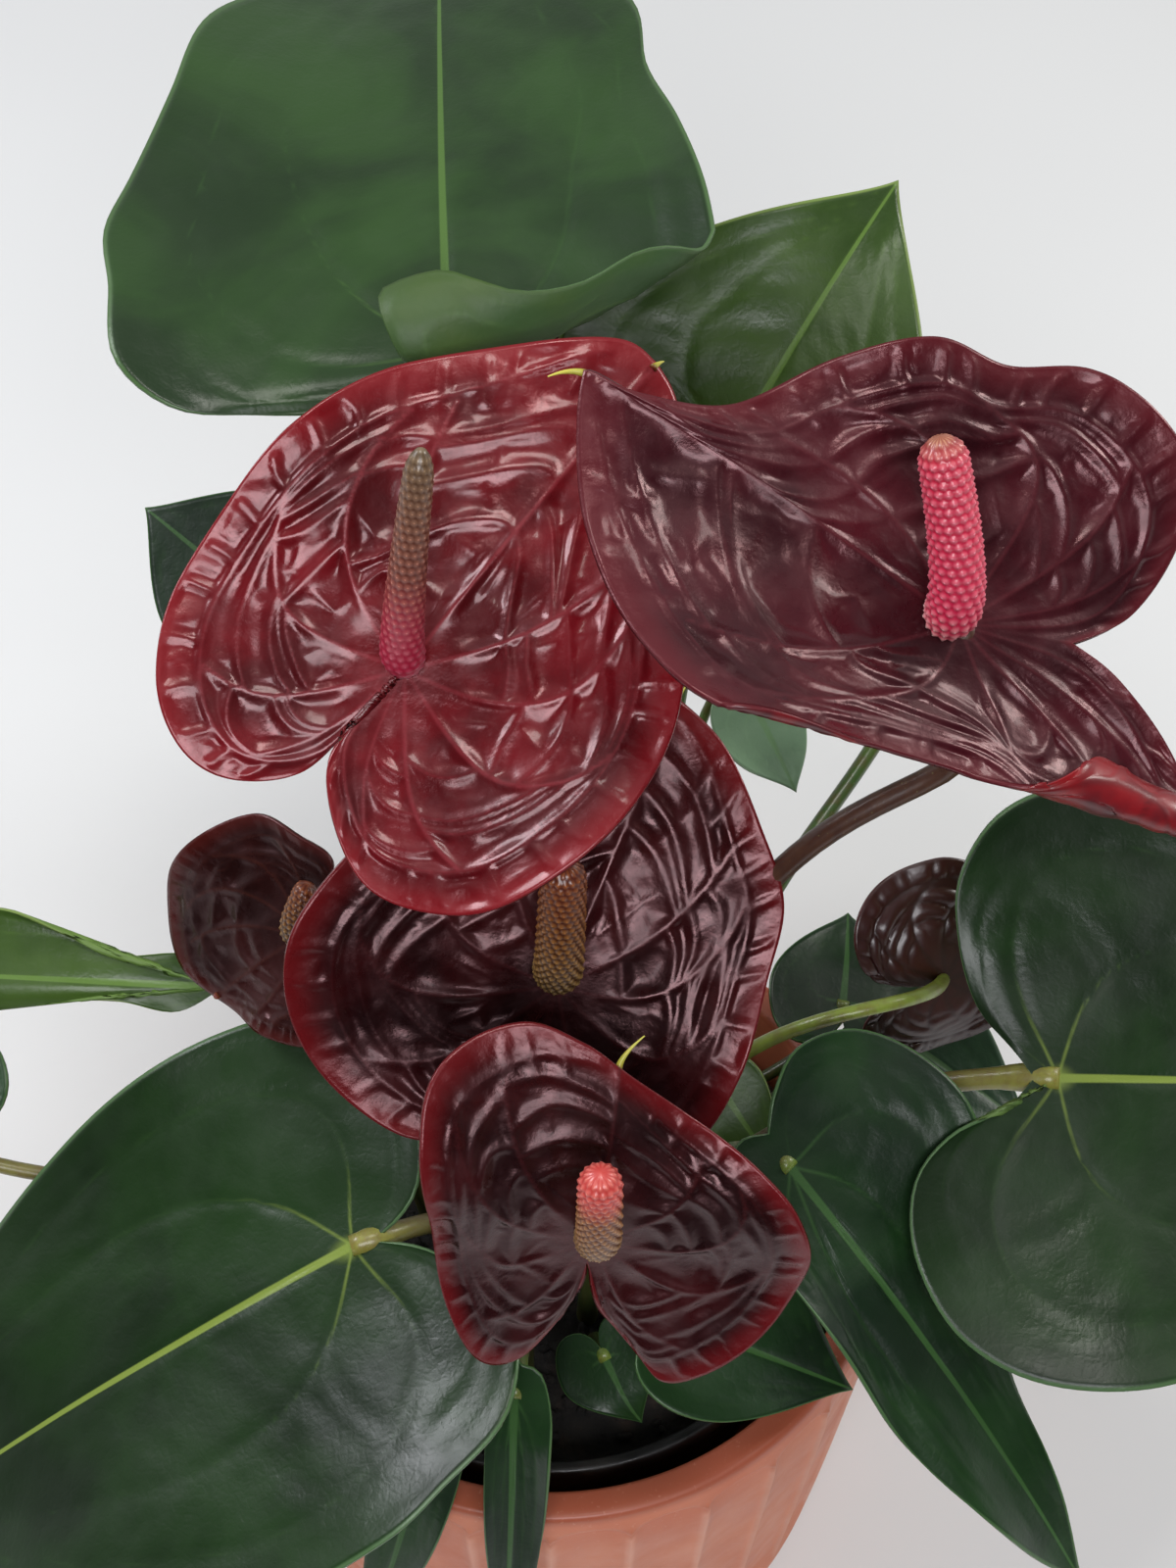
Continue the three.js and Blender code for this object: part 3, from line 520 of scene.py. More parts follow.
spatheForm = dict(
    arch=0.12, back=0.12, foldLeft=0.14, foldRight=0.14, wave=1.8, waves=6, thickness=0.9, stalk=2.1,
    knee=0.1, stalkGap=0.2, stem="green", relief=1.0, ridge=1.6, mesh=(80, 352), seeds=(0, 11.3),
    veinStrength=dict(nerve=1.0, inner=1.0, middle=1.0, outer=1.0, lobe=0.9, ring=0.9, cross=0.85, rung=0.75),
)
smallSpatheForm = dict(spatheForm, wave=1.0, stalk=1.7, relief=0.75, ridge=1.3, mesh=(40, 184))
spadixForm = dict(foot=(0, 0), knee=0.2, waist=0.9, waistEnd=0.08, roundEnd=0.12, steps=120, sides=96)
smallSpadixForm = dict(spadixForm, base=2.8, top=2.4, around=12, knob=0.45, steps=80, sides=64)

flowers = {
    "upper_left": dict(
        at=(-25, 16, 302), tip=(21, 66, 330), facing=(0, -0.5, 0.86), root=(-10, 6), left=42, right=44,
        outline=dict(notch=(-12, 1), right=[
            (-23, -1), (-33, -14), (-34, -25), (-26, -38), (-12, -45), (5, -48), (22, -45), (38, -35),
            (56, -19), (69, -8),
        ], left=[
            (-26, 3), (-35, 12), (-36, 22), (-29, 33), (-15, 41), (5, 43), (24, 42), (42, 36), (60, 21),
            (72, 8),
        ]),
        finish="spathe_red",
        spadix=dict(foot=(1.7, 1.3), end=(-19.5, 24, 350), base=4.1, top=2.3, around=14, knob=0.3,
                    look="raspberry"),
    ),
    "upper_right": dict(
        at=(73, 13, 318), tip=(7, 38, 354), facing=(0.05, -0.4, 0.92), root=(22, 6), left=35, right=46,
        foldLeft=0.5, relax=0.9, roll=(110, 26.4, 8),
        outline=dict(notch=(-20, -9), right=[
            (-28, -20), (-29, -33), (-23, -45), (-10, -51), (4, -51), (17, -43), (31, -39), (43, -27),
            (54, -10), (68, -2),
        ], left=[
            (-31, -8), (-48, -2), (-62, 9), (-60, 26), (-42, 29), (-19, 23), (5, 30), (34, 41), (50, 37),
            (65, 23), (75, 8),
        ]),
        arrive=(-0.32, -0.12, 0.94), rise=1.05, hook=0.47, stalk=2.4, finish="spathe_purple", stem="brown",
        spadix=dict(foot=(3, 0.2), end=(65.5, 19.5, 357), base=4.6, top=3.7, around=15, knob=0.75,
                    look="pink"),
    ),
    "middle": dict(
        at=(2, -6, 230), tip=(26, 37, 268), facing=(0.09, -0.7, 0.7), root=(-2, -6), left=55, right=44,
        outline=dict(notch=(-9, 0), right=[
            (-26, -5), (-34, -15), (-32, -27), (-20, -38), (-2, -40), (17, -38), (33, -35), (46, -24),
            (57, -12),
        ], left=[
            (-32, 6), (-39, 16), (-35, 34), (-24, 47), (-8, 53), (10, 49), (28, 39), (44, 24), (56, 9),
        ]),
        finish="spathe_dark", mesh=(70, 310),
        spadix=dict(foot=(3.5, 1.4), end=(3.7, -4.5, 271), base=4.7, top=4.0, around=17, knob=0.6,
                    look="golden"),
    ),
    "front": dict(
        at=(9, -55, 216), tip=(14, -34, 248), facing=(0.15, -0.75, 0.6), root=(8, -20), left=36, right=42,
        arch=0.35, hook=0.14,
        outline=dict(notch=(-6, 0), right=[
            (-20, -6), (-32, -15), (-36, -21), (-29, -29), (-15, -39), (1, -42), (14, -37), (21, -29),
            (28, -14),
        ], left=[
            (-22, 2), (-32, 9), (-30, 18), (-14, 27), (6, 32), (24, 36), (36, 34), (42, 19), (40, 7),
        ]),
        finish="spathe_dark", mesh=(66, 300),
        spadix=dict(foot=(4, 0), end=(10.4, -59, 252), base=4.1, top=3.7, around=15, knob=0.6, look="coral"),
    ),
    "left_small": dict(
        at=(-52, 17, 214), tip=(-73, 15, 192), facing=(-0.3, -0.5, 0.8), root=(-22, 8), left=26, right=34,
        outline=dict(notch=(-5, 0), right=[
            (-15, -9), (-11, -18), (-4, -27), (9, -30), (24, -28), (33, -20), (35, -10),
        ], left=[
            (-8, 8), (-7, 16), (0, 22), (11, 21), (20, 14), (27, 5),
        ]),
        finish="spathe_purple", skin="spathe_brown", small=True,
        spadix=dict(end=(-49, 19, 230), knee=0.4, look="golden"),
    ),
    "right_small": dict(
        at=(88, 27, 181), tip=(118, 36, 181), facing=(0.1, 0.8, -0.45), root=(26, 12), left=18, right=28,
        lobe=20, arrive=(0.23, 0.71, -0.67), rise=1, hook=0.4, stalk=1.6, finish="spathe_purple",
        skin="spathe_brown", stem="lime", small=True,
        spadix=dict(end=(92, 47, 170), look="golden"),
    ),
    "rear": dict(
        at=(20, 145, 248), tip=(0, 168, 262), facing=(0.1, -0.45, 0.88), root=(6, 26), left=24, right=24,
        lobe=20, finish="spathe_dark", small=True,
        spadix=dict(end=(19, 143, 268), base=3.2, top=2.6, knob=0.5, look="pink"),
    ),
}
clearance = 0.3  # between a blade and its spadix

spatheLooks = {  # colours from the deep hollows to the edge; the vein colour is partly the veins' own tint and partly a painted highlight on their raised ridges
    "spathe_red": dict(deep="#40080d", main="#6a1019", edge="#78171e", vein="#84323a",
                       under="#7a1c20", coat=0.36),
    "spathe_purple": dict(deep="#280a10", main="#40121a", edge="#52181f", vein="#54242a",
                          under="#860c14", coat=0.16),
    "spathe_brown": dict(deep="#180807", main="#2c0e0c", edge="#40130f", vein="#402019",
                         under="#300c09", coat=0.1),
    "spathe_dark": dict(deep="#190809", main="#340d0f", edge="#621216", vein="#40181a",
                        under="#521216", coat=0.12),
}


def spatheMaterials(name, look):
    face = newMaterial(name + "_face")
    tint = layered(look["deep"], (
        (grain(45, 4), 0.35, 0.7, 0, 1, look["main"]),
        ("rim", 0.84, 1.0, 0, 0.9, look["edge"]),
        # lighter along the veins: partly their own tint, partly a painted highlight along their raised ridges
        ("vein", 0.0, 0.7, 0.5, 0, look["vein"]),
        ("rim", 0.0, 0.07, 0.6, 0, look["edge"]),
    ))
    skin = bump((grain(900, 2), 0.12, 0.0002), (grain(260, 5), 0.4, 0.0006))
    rough = level(grain(150, 4), 0.3, 0.7, 0.22, 0.42)
    setShader(Base_Color=tint, Roughness=rough, Coat_Weight=look["coat"], Coat_Roughness=0.16,
              Coat_Tint="#ffc8cc", Specular_IOR_Level=0.5, Specular_Tint="#ffc8cc", Normal=skin)

    under = newMaterial(name + "_under")
    tint = layered(look["under"], (
        (grain(70), 0.35, 0.7, 0, 1, look["main"]),
        ("vein", 0.0, 1.2, 0.5, 0, look["deep"]),
    ))
    setShader(Base_Color=tint, Roughness=0.36, Coat_Weight=0.25, Coat_Roughness=0.2,
              Normal=bump((grain(300, 3), 0.3, 0.0004)))
    return [face, under]


spadixLooks = {  # skin from base to tip, and the florets' points
    "raspberry": [(0.0, "#b41e40"), (0.3, "#942036"), (0.5, "#5c281e"), (1.0, "#42301c")],
    "pink": [(0.0, "#c04458"), (0.12, "#c82248"), (0.9, "#c02240"), (1.0, "#7c3024")],
    "golden": [(0.0, "#3c260c"), (0.5, "#44200a"), (1.0, "#561c0c")],
    "coral": [(0.0, "#4a2e10"), (0.62, "#5c2814"), (0.82, "#b03430"), (1.0, "#b83c38")],
}
floretTips = {
    "raspberry": [(0.0, "#e0708c"), (0.4, "#c87a6a"), (1.0, "#a08a6a")],
    "pink": [(0.0, "#f4dcd0"), (0.18, "#f49aa8"), (0.9, "#f496a4"), (1.0, "#c89a70")],
    "golden": [(0.0, "#d8b46c"), (0.5, "#cc8c44"), (1.0, "#bc6a34")],
    "coral": [(0.0, "#dcb47c"), (0.66, "#dc9e62"), (0.86, "#ec9284"), (1.0, "#ec8878")],
}


def spadixMaterial(look):
    material = newMaterial("spadix_" + look)
    share = meshValue("along")
    points = ramp(share, floretTips[look])
    tint = layered(ramp(share, spadixLooks[look]), (
        ("floret", 0.35, 0.75, 0.0, 0.3, points),
        ("floret", 0.8, 0.96, 0.0, 0.9, points),
        ("floret", 0.0, 0.15, 0.5, 0.0, "#140806"),
    ))
    setShader(Base_Color=tint, Roughness=0.36, Coat_Weight=0.3, Coat_Roughness=0.2,
              Normal=bump((grain(1400, 2), 0.2, 0.0001)))
    return material


florets = dict(  # their spacing, dome and point are shares of the distance from one to the next
    rowSpacing=0.87, dome=0.56, point=0.16, pointHeight=0.35, slant=0.12, sunk=0.4,
)


def spadixPiece(flower, blade, spadix, material):
    into = blade["matrix"]
    foot = spadix["foot"]  # where it is seated, ahead of the stalk
    start = into @ Vector((*foot, clearance))
    end = Vector(spadix["end"])
    reach = (into.inverted() @ end).length
    knee = into @ Vector((*foot, clearance + spadix["knee"] * reach))
    curve = [start.lerp(knee, t).lerp(knee.lerp(end, t), t) for t in (i / 60 for i in range(61))]
    spine = evenly(curve, spadix["steps"])
    length = sum((b - a).length for a, b in zip(spine, spine[1:]))
    around, base, spacing = spadix["around"], spadix["base"], florets["rowSpacing"]
    rows = length / (2 * math.pi * base / around * spacing)

    def radiusAt(share, turn):
        rounding = math.sqrt(max(0.0, 1 - max(0.0, (share - 1) / spadix["roundEnd"] + 1) ** 2))
        waist = mix(spadix["waist"], 1, smooth(share, 0, spadix["waistEnd"]))
        radius = mix(base, spadix["top"], share) * waist
        row = share * rows
        nearest = math.inf
        for k in (math.floor(row), math.floor(row) + 1):
            column = turn * around - 0.5 * (k % 2) - florets["slant"] * k
            aside = (column - round(column)) * radius / base
            nearest = min(nearest, math.hypot(aside, (row - k) * spacing))
        dome = math.sqrt(max(0.0, 1 - (nearest / florets["dome"]) ** 2))
        point = math.exp(-(nearest / florets["point"]) ** 2)
        out = ((dome + florets["pointHeight"] * point) * rounding - florets["sunk"]) * spadix["knob"]
        return max(0.02, radius * rounding + out), (share, 0.7 * dome + 0.3 * point)

    name = "spadix_" + flower
    piece = sweep(name + "_florets", spine, radiusAt, spadix["sides"], material, ("along", "floret"))
    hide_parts("spadix_" + flower)


stemLooks = {  # from the soil to the blade
    "green": [(0.0, "#3c4a22"), (0.5, "#3e5428"), (1.0, "#5c6a34")],
    "brown": [(0.0, "#3c3c1c"), (0.4, "#3c241a"), (1.0, "#46281c")],
    "lime": [(0.0, "#6a7a30"), (1.0, "#7c8c34")],
    "olive": [(0.0, "#4a5426"), (0.7, "#5c4e34"), (1.0, "#8a8a3c")],
    "leaf": [(0.0, "#3a4a22"), (0.8, "#34501f"), (1.0, "#6c8034")],
}


def stemMaterial(look):
    material = newMaterial("stalk_" + look)
    tint = layered(ramp(meshValue("along"), stemLooks[look]), (
        (grain(60, 4, (6, 6, 0.6)), 0.35, 0.7, 0.0, 0.45, "#5a3a26"),
        (cells(700, "F1"), 0.0, 0.18, 0.5, 0.0, "#8c8c5c"),
    ))
    setShader(Base_Color=tint, Roughness=0.38, Coat_Weight=0.25, Coat_Roughness=0.2,
              Subsurface_Weight=0.05, Subsurface_Scale=0.002,
              Normal=bump((grain(220, 3, (4, 4, 0.5)), 0.3, 0.0003)))
    return material


# The thin yellow-green point at a spathe's tip
cuspForm = dict(back=1.5, droop=0.5, curl=0.6, radius=(0.85, 0.12), steps=16, around=10)
cusps = {
    "upper_right": dict(length=6.5, bend=(-0.3, -1.2, 0.1)),
    "front": dict(length=5.5, bend=(1.3, 0.2, 0.3)),
    "left_small": dict(length=3.5, bend=(0.4, 0.3, 0.5)),
    "upper_left": dict(length=3.0, bend=(0.2, 0.2, -0.6)),
    "middle": dict(length=3.5, bend=(0.4, 0.2, 0.2)),
    "right_small": dict(length=3.0, bend=(0.2, 0.3, 0.2)),
    "rear": dict(length=3.0, bend=(-0.2, 0.2, 0.2)),
}


def cuspPiece(flower, blade, cusp, material):
    tip = Vector(blade["tip"])
    droop = cuspForm["droop"]
    ahead = (blade["forward"] * math.cos(droop) - blade["normal"] * math.sin(droop)).normalized()
    bend = Vector(cusp["bend"]) * cuspForm["curl"]
    path = []
    for i in range(cuspForm["steps"] + 1):
        t = i / cuspForm["steps"]
        path.append(tip + ahead * (cusp["length"] * t - cuspForm["back"]) + bend * cusp["length"] * t ** 2)

    def radiusAt(share, turn):
        return mix(*cuspForm["radius"], share ** 0.8), (share,)

    return sweep("cusp_" + flower, path, radiusAt, cuspForm["around"], material)


def cuspMaterial():
    material = newMaterial("cusp")
    stops = [(0.0, "#6a1c18"), (0.25, "#a8a034"), (1.0, "#d2cc5a")]
    tint = layered(ramp(meshValue("along"), stops), ((grain(500), 0.4, 0.7, 0, 0.3, "#8a9a3a"),))
    setShader(Base_Color=tint, Roughness=0.4)
    return material


stems = {look: stemMaterial(look) for look in stemLooks}
spatheSkins = {name: spatheMaterials(name, look) for name, look in spatheLooks.items()}
spadixSkins = {look: spadixMaterial(look) for look in spadixLooks}
cuspSkin = cuspMaterial()

for number, (flower, given) in enumerate(flowers.items()):
    small = given.get("small", False)
    blade = framed(smallSpatheForm if small else spatheForm, given, number)
    skins = spatheSkins[blade.get("skin", blade["finish"])]
    piece = bladePiece("spathe_" + flower + "_blade", blade, spatheVeins, spatheRelief, skins)
    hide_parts("spathe_" + flower)
    spadix = {**(smallSpadixForm if small else spadixForm), **blade["spadix"]}
    spadixPiece(flower, blade, spadix, spadixSkins[spadix["look"]])
    arrival = Vector(blade.get("arrive", blade["normal"])).normalized()
    path = stalkPath(blade, Vector(blade["at"]) - arrival * (blade["thickness"] + blade["stalkGap"]), arrival)
    name = "peduncle_" + flower
    stalkPiece(name + "_stalk", name, blade, path, stems[blade["stem"]])
    cusp = cuspPiece(flower, blade, cusps[flower], cuspSkin)
    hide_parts("spathe_" + flower)
print("flowers made:", len(flowers))


# Leaves

leafForm = dict(
    arch=0.18, back=0.1, wave=2.2, waves=5, thickness=0.7, stalk=1.9, knee=0.35, stalkInto=0.4,
    usualArrival=(0.75, 0.66),  # how far the stalk comes from under the blade, and how far from behind it
    stem="leaf", look="dark", relief=0.9, ridge=1.7, mesh=(36, 144), seeds=(100, 5.7),
    veinStrength=dict(inner=0.9, outer=0.9, lobe=0.7, ring=0.5, cross=0.45),
)
smallLeafForm = dict(leafForm, wave=1.2, waves=3, stalk=1.5, relief=0.5, ridge=1.2, mesh=(18, 88))

leaves = {
    "upper_left": dict(
        at=(-19, 85, 315), tip=(-26, 225, 314), facing=(-0.05, -0.1, 0.99), root=(-10, 26), left=68,
        right=56, stalk=2.3, roll=(-160, 0, 12), look="upper",
        outline=dict(notch=(-9, 1), right=[
            (-28, 2), (-43, -5), (-38, -14), (-29, -18), (-22, -23), (-16, -33), (-12, -47), (-1, -53),
            (28, -53), (55, -49), (76, -44), (100, -42), (124, -24),
        ], left=[
            (-10, 14), (-12, 36), (-12, 52), (-2, 63), (17, 65), (33, 67), (50, 63), (75, 56), (105, 48),
            (126, 26),
        ]),
    ),
    "upper_right": dict(
        at=(40, 108, 268), tip=(75, 153, 303), facing=(-0.19, -0.6, 0.77), root=(18, 24), left=44, right=38,
        lobe=24, twist=0.15, look="light",
    ),
    "left_small": dict(
        at=(-73, 114, 215), tip=(-97, 133, 222), facing=(-0.3, -0.3, 0.9), root=(-26, 20), left=20, right=24,
        lobe=12, stalk=1.6, small=True,
    ),
    "lower_left": dict(
        at=(-41, -37, 178), tip=(-154, -71, 100), facing=(-0.25, -0.3, 0.92), root=(-22, -10),
        arrive=(-0.9, -0.25, -0.1), left=50, right=62, stalk=2.3, stem="olive", look="bold",
        outline=dict(notch=(-4, 1), right=[
            (-18, -4), (-24, -22), (-17, -42), (-7, -51), (8, -54), (29, -54), (53, -51), (75, -45),
            (100, -33), (122, -16),
        ], left=[
            (-14, 8), (-21, 17), (-25, 29), (-24, 38), (-17, 48), (-3, 54), (14, 59), (45, 58), (75, 47),
            (102, 31), (124, 14),
        ]),
    ),
    "left_narrow": dict(
        at=(-76, 26, 179), tip=(-150, 27, 184), facing=(0, -0.5, 0.86), root=(-30, 2), left=8, right=16,
        foldLeft=-0.7, foldRight=0.1, twist=0.2, stalk=1.6, small=True, look="light",
        outline=dict(notch=(-2, 0), right=[
            (6, -7), (22, -6), (34, -10), (48, -15), (62, -14), (70, -7),
        ], left=[
            (8, 6), (22, 4), (36, 5), (50, 8), (62, 8), (70, 4),
        ]),
    ),
    "right_large": dict(
        at=(108, -5, 192), tip=(200, 4, 172), facing=(0.1, -0.42, 0.9), root=(32, 0),
        arrive=(0.9, -0.3, 0.4), left=61, right=66, stalk=2.4, stem="olive", look="bold",
        outline=dict(notch=(-5, 0), right=[
            (-12, -7), (-24, -13), (-32, -23), (-32, -38), (-23, -54), (-6, -63), (18, -63), (44, -53),
            (68, -34), (84, -15),
        ], left=[
            (-10, 7), (-17, 16), (-21, 29), (-21, 42), (-13, 55), (1, 62), (20, 62), (45, 52), (69, 33),
            (85, 14),
        ]),
    ),
    "right_drooping": dict(
        at=(50, -26, 192), tip=(118, -85, 110), facing=(0.35, -0.45, 0.82), root=(26, -16), left=38,
        right=18, arch=0.2, stalk=1.9,
        outline=dict(notch=(-8, 1), right=[
            (-11, -6), (-4, -14), (14, -16), (40, -17), (62, -17), (82, -14), (102, -8),
        ], left=[
            (-14, 8), (-17, 18), (-12, 30), (0, 37), (16, 38), (34, 30), (52, 20), (70, 11), (88, 7),
            (104, 4),
        ]),
    ),
    "centre_small": dict(
        at=(40, 22, 140), tip=(53, 2, 136), facing=(-0.3, -0.4, 0.85), root=(30, 14), left=10, right=10,
        lobe=6, stalk=1.3, small=True, look="light",
    ),
    "right_behind": dict(
        at=(81, 38, 140), tip=(115, 16, 130), facing=(0.1, -0.3, 0.95), root=(35, 7), rise=0.7, hook=0.2,
        left=18, right=18, lobe=10, stalk=1.5, small=True, look="grey",
    ),
    "right_rear": dict(
        at=(69, 40, 150), tip=(72, 66, 150), facing=(0.1, -0.1, 0.98), root=(30, 24), left=18, right=22,
        lobe=12, stalk=1.5, small=True,
    ),
    "front_right": dict(
        at=(31, -44, 152), tip=(66, -52, 138), facing=(0, -0.3, 0.95), root=(20, -26), left=24, right=18,
        lobe=10, stalk=1.6, small=True,
    ),
    "front_middle": dict(
        at=(12, -42, 132), tip=(20, -54, 124), facing=(-0.3, -0.5, 0.8), root=(8, -30), left=11, right=12,
        lobe=8, stalk=1.5, small=True,
    ),
    "front_hanging": dict(
        at=(-7, -65, 166), tip=(-6, -103, 84), facing=(-0.2, -0.9, 0.4), root=(-6, -34), left=8, right=6,
        lobe=7, bend=-0.06, stalk=1.6, small=True,
    ),
    "front_left": dict(
        at=(-26, -66, 148), tip=(-38, -94, 82), facing=(-0.2, -0.9, 0.4), root=(-19, -30), left=9, right=9,
        lobe=7, bend=-0.1, stalk=1.5, small=True,
    ),
    "rear_small": dict(
        at=(46, 80, 213), tip=(57, 72, 190), facing=(0.25, -0.9, 0.35), root=(24, 34), left=10, right=11,
        lobe=6, stalk=1.2, small=True, look="pale",
    ),
    "left_low": dict(
        at=(-142, 0, 160), tip=(-187, 32, 146), facing=(-0.3, 0, 0.95), root=(-37, -10), left=26, right=26,
        lobe=14, stalk=1.8, rise=0.6, small=True, stem="olive",
    ),
    "back_left": dict(
        at=(-27, 92, 212), tip=(-44, 156, 214), facing=(-0.1, 0.1, 0.98), root=(-20, 32), left=26, right=30,
        lobe=18, stalk=1.9,
    ),
    "back_middle": dict(
        at=(-8, 98, 168), tip=(-6, 172, 148), facing=(0, 0.2, 0.97), root=(0, 38), left=34, right=34,
        lobe=22, stalk=1.9,
    ),
    "back_right": dict(
        at=(84, 96, 204), tip=(116, 160, 190), facing=(0.2, 0.2, 0.95), root=(35, 32), left=34, right=34,
        lobe=20, stalk=1.9, rise=0.8,
    ),
}

leafLooks = {
    "dark": dict(deep="#0e2010", main="#1c3a18", vein="#243f1c", rib="#34542a", rim="#46663a",
                 under="#5c7a3c"),
    "bold": dict(deep="#0e1e0b", main="#1b3414", vein="#26401a", rib="#76883a", rim="#54724a",
                 under="#5c7a3c"),
    "upper": dict(deep="#182c13", main="#28441c", vein="#2e4c22", rib="#48662e", rim="#4e6c40",
                  under="#38501a"),
    "light": dict(deep="#283f14", main="#405a20", vein="#4a6628", rib="#587632", rim="#7c924e",
                  under="#5c7832"),
    "grey": dict(deep="#243a2a", main="#3a5640", vein="#466248", rib="#54704e", rim="#5e7c5c",
                 under="#5c7850"),
    # partly the leaf's own paler tone, partly painted light on a leaf that lies in shade
    "pale": dict(deep="#5c7a5c", main="#84a082", vein="#7c9a78", rib="#6c8c64", rim="#94ac8c",
                 under="#7c9a74"),
}


def ribShare(width):  # the midrib: a tapering line along the blade's own axis
    across = reckon("ABSOLUTE", meshValue("across"))
    taper = level("rim", 0.0, 1.0, width, 0.25 * width, "LINEAR")
    line = level(reckon("DIVIDE", across, taper), 0.55, 1.0, 1.0, 0.0)
    return reckon("MULTIPLY", line, level("ahead", -1.5, 0.5, 0, 1))


def leafMaterials(name, look):
    face = newMaterial("leaf_" + name + "_face")
    tint = layered(look["deep"], (
        (grain(22, 4, distortion=0.6), 0.3, 0.72, 0, 1, look["main"]),
        ("vein", 0.0, 1.0, 0.4, 0, look["vein"]),
    ))
    nearStalk = level("rim", 0.05, 0.5, 1, 0)
    basal = reckon("MULTIPLY", level("vein", 0.0, 0.8, 0.8, 0), nearStalk)
    tint = blend(basal, tint, look["rib"])
    tint = blend(ribShare(1.2), tint, look["rib"])
    tint = layered(tint, (
        ("rim", 0.0, 0.06, 0.9, 0, look["rib"]),
        ("rim", 0.982, 0.995, 0, 0.8, look["rim"]),
    ))
    pores = level(cells(420), 0.0, 0.2, 0.0, 1.0)
    ripples = grain(150, 4)
    skin = bump((grain(700, 3), 0.2, 0.0002), (pores, 0.1, 0.0001), (ripples, 0.3, 0.0005))
    rough = level(grain(60), 0.3, 0.7, 0.29, 0.42)
    setShader(Base_Color=tint, Roughness=rough, Specular_IOR_Level=0.36, Normal=skin)

    under = newMaterial("leaf_" + name + "_under")
    tint = layered(look["under"], (
        (grain(40), 0.3, 0.7, 0, 1, look["vein"]),
        ("vein", 0.0, 1.2, 0.7, 0, look["rib"]),
    ))
    tint = blend(ribShare(2.0), tint, look["rib"])
    skin = bump((cells(420), 0.25, 0.0003))
    setShader(Base_Color=tint, Roughness=0.55, Normal=skin)
    return [face, under]


leafSkins = {name: leafMaterials(name, look) for name, look in leafLooks.items()}

for number, (name, given) in enumerate(leaves.items()):
    leaf = "leaf_" + name
    small = given.get("small", False)
    blade = framed(smallLeafForm if small else leafForm, given, number)
    piece = bladePiece(leaf + "_blade", blade, leafVeins, leafRelief, leafSkins[blade["look"]])
    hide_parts(leaf)
    under, behind = blade["usualArrival"]
    usual = blade["normal"] * under + blade["forward"] * behind
    arrival = Vector(blade.get("arrive", usual)).normalized()
    path = stalkPath(blade, Vector(blade["at"]) + arrival * blade["stalkInto"], arrival)
    stalkPiece(leaf + "_stalk", leaf, blade, path, stems[blade["stem"]])
print("leaves made:", len(leaves))


# Planter, nursery pot and soil

def turned(profile, steps):  # a net spun from (radius, height) points
    bm = bmesh.new()
    chain = [bm.verts.new((r * mm, 0, z * mm)) for r, z in profile]
    edges = [bm.edges.new(pair) for pair in zip(chain, chain[1:])]
    bmesh.ops.spin(bm, geom=chain + edges, cent=(0, 0, 0), axis=(0, 0, 1), angle=2 * math.pi, steps=steps,
                   use_merge=True)
    bmesh.ops.remove_doubles(bm, verts=bm.verts, dist=1e-6)
    bmesh.ops.recalc_face_normals(bm, faces=bm.faces)
    return bm


planter = dict(
    height=130, rimRadius=78, shoulderZ=112, shoulderRadius=80, baseRadius=71.5, lip=7, floor=6, flutes=28,
    band=5, arch=5, depth=1.8,  # the plain band under the rim, the flutes' arched tops and their depth
    ridge=0.8, ridgeHighlightFade=(9, 6), nub=0.55,  # between two flutes, with a nub where their arches meet; a painted highlight lies along the ridges and fades out towards the flutes' tops
    lipPaintedShade=(126.2, 129.6),  # the heights between which painted shade darkens the colour to the rim
    fine=0.5, coarse=6, stepsPerFlute=12,  # the net's steps
)


def planterWall(z):
    middle, radius, base = planter["shoulderZ"], planter["shoulderRadius"], planter["baseRadius"]
    if z < middle:
        return base + (radius - base) * (z / middle) ** 0.8
    return radius + (planter["rimRadius"] - radius) * ((z - middle) / (planter["height"] - middle)) ** 2


def planterProfile():
    height, rim, floor = planter["height"], planter["rimRadius"], planter["floor"]
    middle, fine, coarse = planter["shoulderZ"], planter["fine"], planter["coarse"]
    base, mouth, wall = planter["baseRadius"], rim - planter["lip"], planterWall
    foot = [(0, 0), (wall(0) - 2.2, 0), (wall(0) - 0.8, 0.5), (wall(1) - 0.2, 1.3), (wall(2.5), 2.5)]
    side = [(wall(z), z) for z in range(coarse, middle, coarse)]
    side += [(wall(middle + fine * i), middle + fine * i) for i in range(35)]
    lip = [(rim - 0.15, height - 0.45), (rim - 0.55, height - 0.1), (rim - 1.1, height),
           (rim - 2.4, height - 0.2), (mouth + 1.2, height - 0.8), (mouth + 0.3, height - 1.4),
           (mouth, height - 2.2), (mouth - 0.5, height - 5)]
    return [*foot, *side, *lip, (base - 6, floor + 3), (base - 9, floor), (0, floor)]


